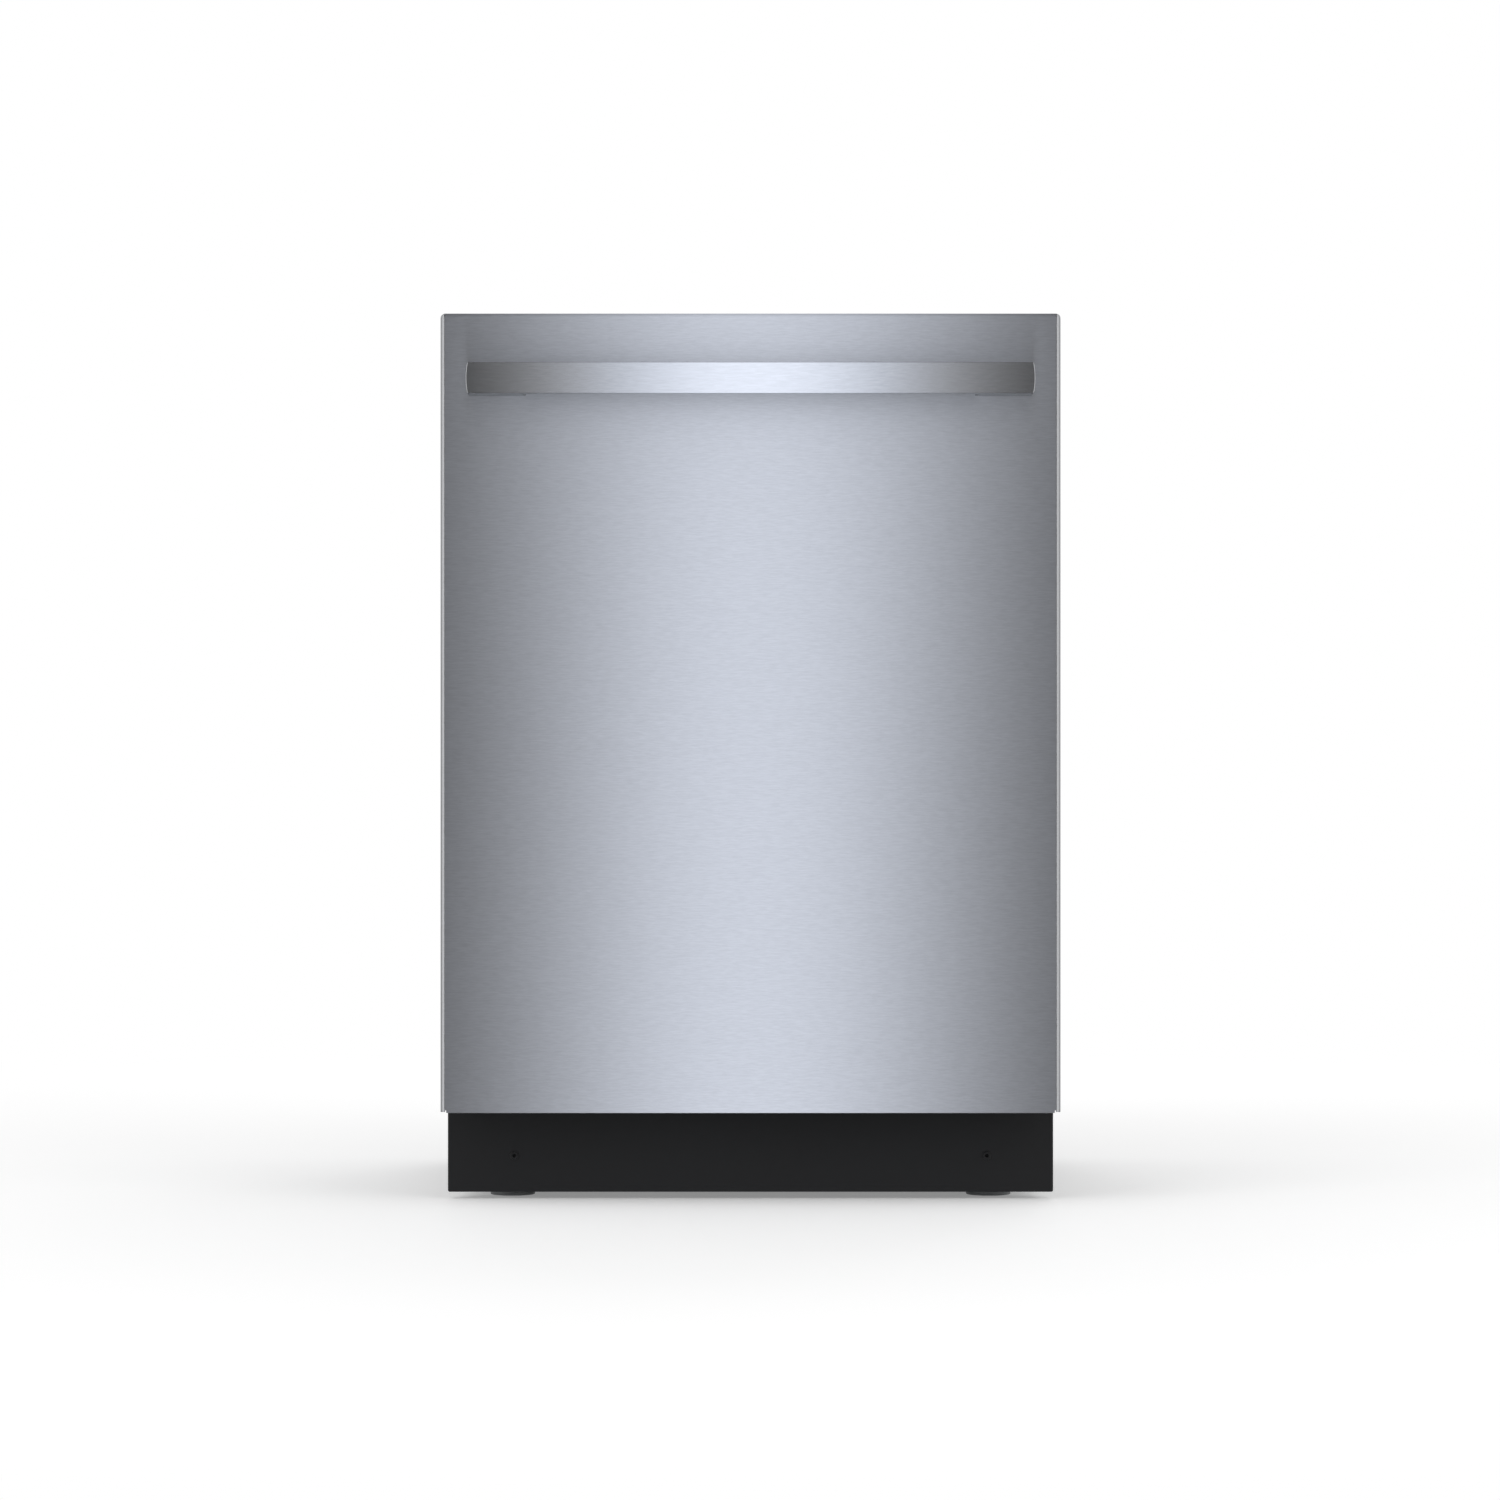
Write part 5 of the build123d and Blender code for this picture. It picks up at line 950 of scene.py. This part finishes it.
# Section carried along the opening's edge: a half-round bulb at the inner side, a groove and a lower lip
def gasketParts(values, low, high):
    t = np.linspace(math.pi, 0, values["steps"])
    deep, half, b = high[1] - low[1], values["width"] / 2, values["bulb"]
    (wide, tall), (near, far) = values["lip"], values["groove"]
    bulb = np.stack([-half + b + b * np.cos(t), (deep - b) + b * np.sin(t)], -1)
    lip = np.stack([half - wide + wide * np.cos(t), deep - values["lipDown"] + tall * np.sin(t)], -1)
    valley = deep - values["grooveDown"]
    groove = [(-half + 2 * b - near, valley), (half - far, valley)]
    section = np.concatenate([[(-half, 0)], bulb, groove, lip, [(half, 0)]])
    x, face, top = high[0] - half, high[1], high[2] - half
    corners = [(x, face, low[2]), (x, face, top), (-x, face, top), (-x, face, low[2])]
    run = roundRun(corners, values["corner"], 8)
    side = np.cross(headings(run), (0, 1, 0))
    points = run[:, None] + section[:, 0, None] * side[:, None] - section[:, 1, None] * np.array((0, 1, 0))
    return [(points, [row[::-1] for row in cappedRings(len(run), len(section))])]


gasketLow, gasketHigh = (np.array(c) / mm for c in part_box("door_gasket"))
seal = makePiece("openingSeal", gasketParts(gasket, gasketLow, gasketHigh), finishes["seal_rubber"])
evenShade(seal)
standFor(seal, "cabinet", "seal_rubber", "door_gasket")
print("gasket built")

# Push buttons: soft caps with a shallow dish, on the lip that holds them in the panel
button = {"corner": 2.5, "soft": 1.0, "dish": 0.6, "dishRings": 7, "lip": 1.5, "lipDepth": 2.0}


# Rounded rectangle carried up with a soft top edge; inside it the outline shrinks to a point and sinks as
# a parabola
def buttonParts(values, low, high):
    lip, curve, signs = values["lip"], values["soft"], ((-1, -1), (1, -1), (1, 1), (-1, 1))
    middle, half = (low + high) / 2, (high - low) / 2
    corners = [(middle[0] + i * half[0], middle[1] + j * half[1]) for i, j in signs]
    outline = roundRun(corners, values["corner"] + lip, 6, True)
    t = np.linspace(0, math.pi / 2, 5)
    soft = np.stack([lip + curve * (1 - np.cos(t)), high[2] - curve * (1 - np.sin(t))], -1)
    shelf = low[2] + values["lipDepth"]
    points, faces = loft(outline, np.concatenate([[(0, low[2]), (0, shelf), (lip, shelf)], soft]))
    shrink = np.linspace(1, 0, values["dishRings"])[:, None, None]
    dish = middle + (points[-1] - middle) * np.array((1, 1, 0)) * shrink
    dish[..., 2] = high[2] - values["dish"] * (1 - shrink[..., 0] ** 2)
    return [(points, faces[:-1]), (dish, gridQuads(len(shrink), len(outline), False, True)[:, ::-1])]


for node in ("power_button", "program_button", "option_button", "start_button"):
    capLow, capHigh = (np.array(c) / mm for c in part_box(node))
    parts = buttonParts(button, capLow, capHigh)
    piece = makePiece(node.replace("_b", "B"), parts, finishes["button_plastic"])
    evenShade(piece)
    standFor(piece, node, "button_plastic", node)
print("buttons built")
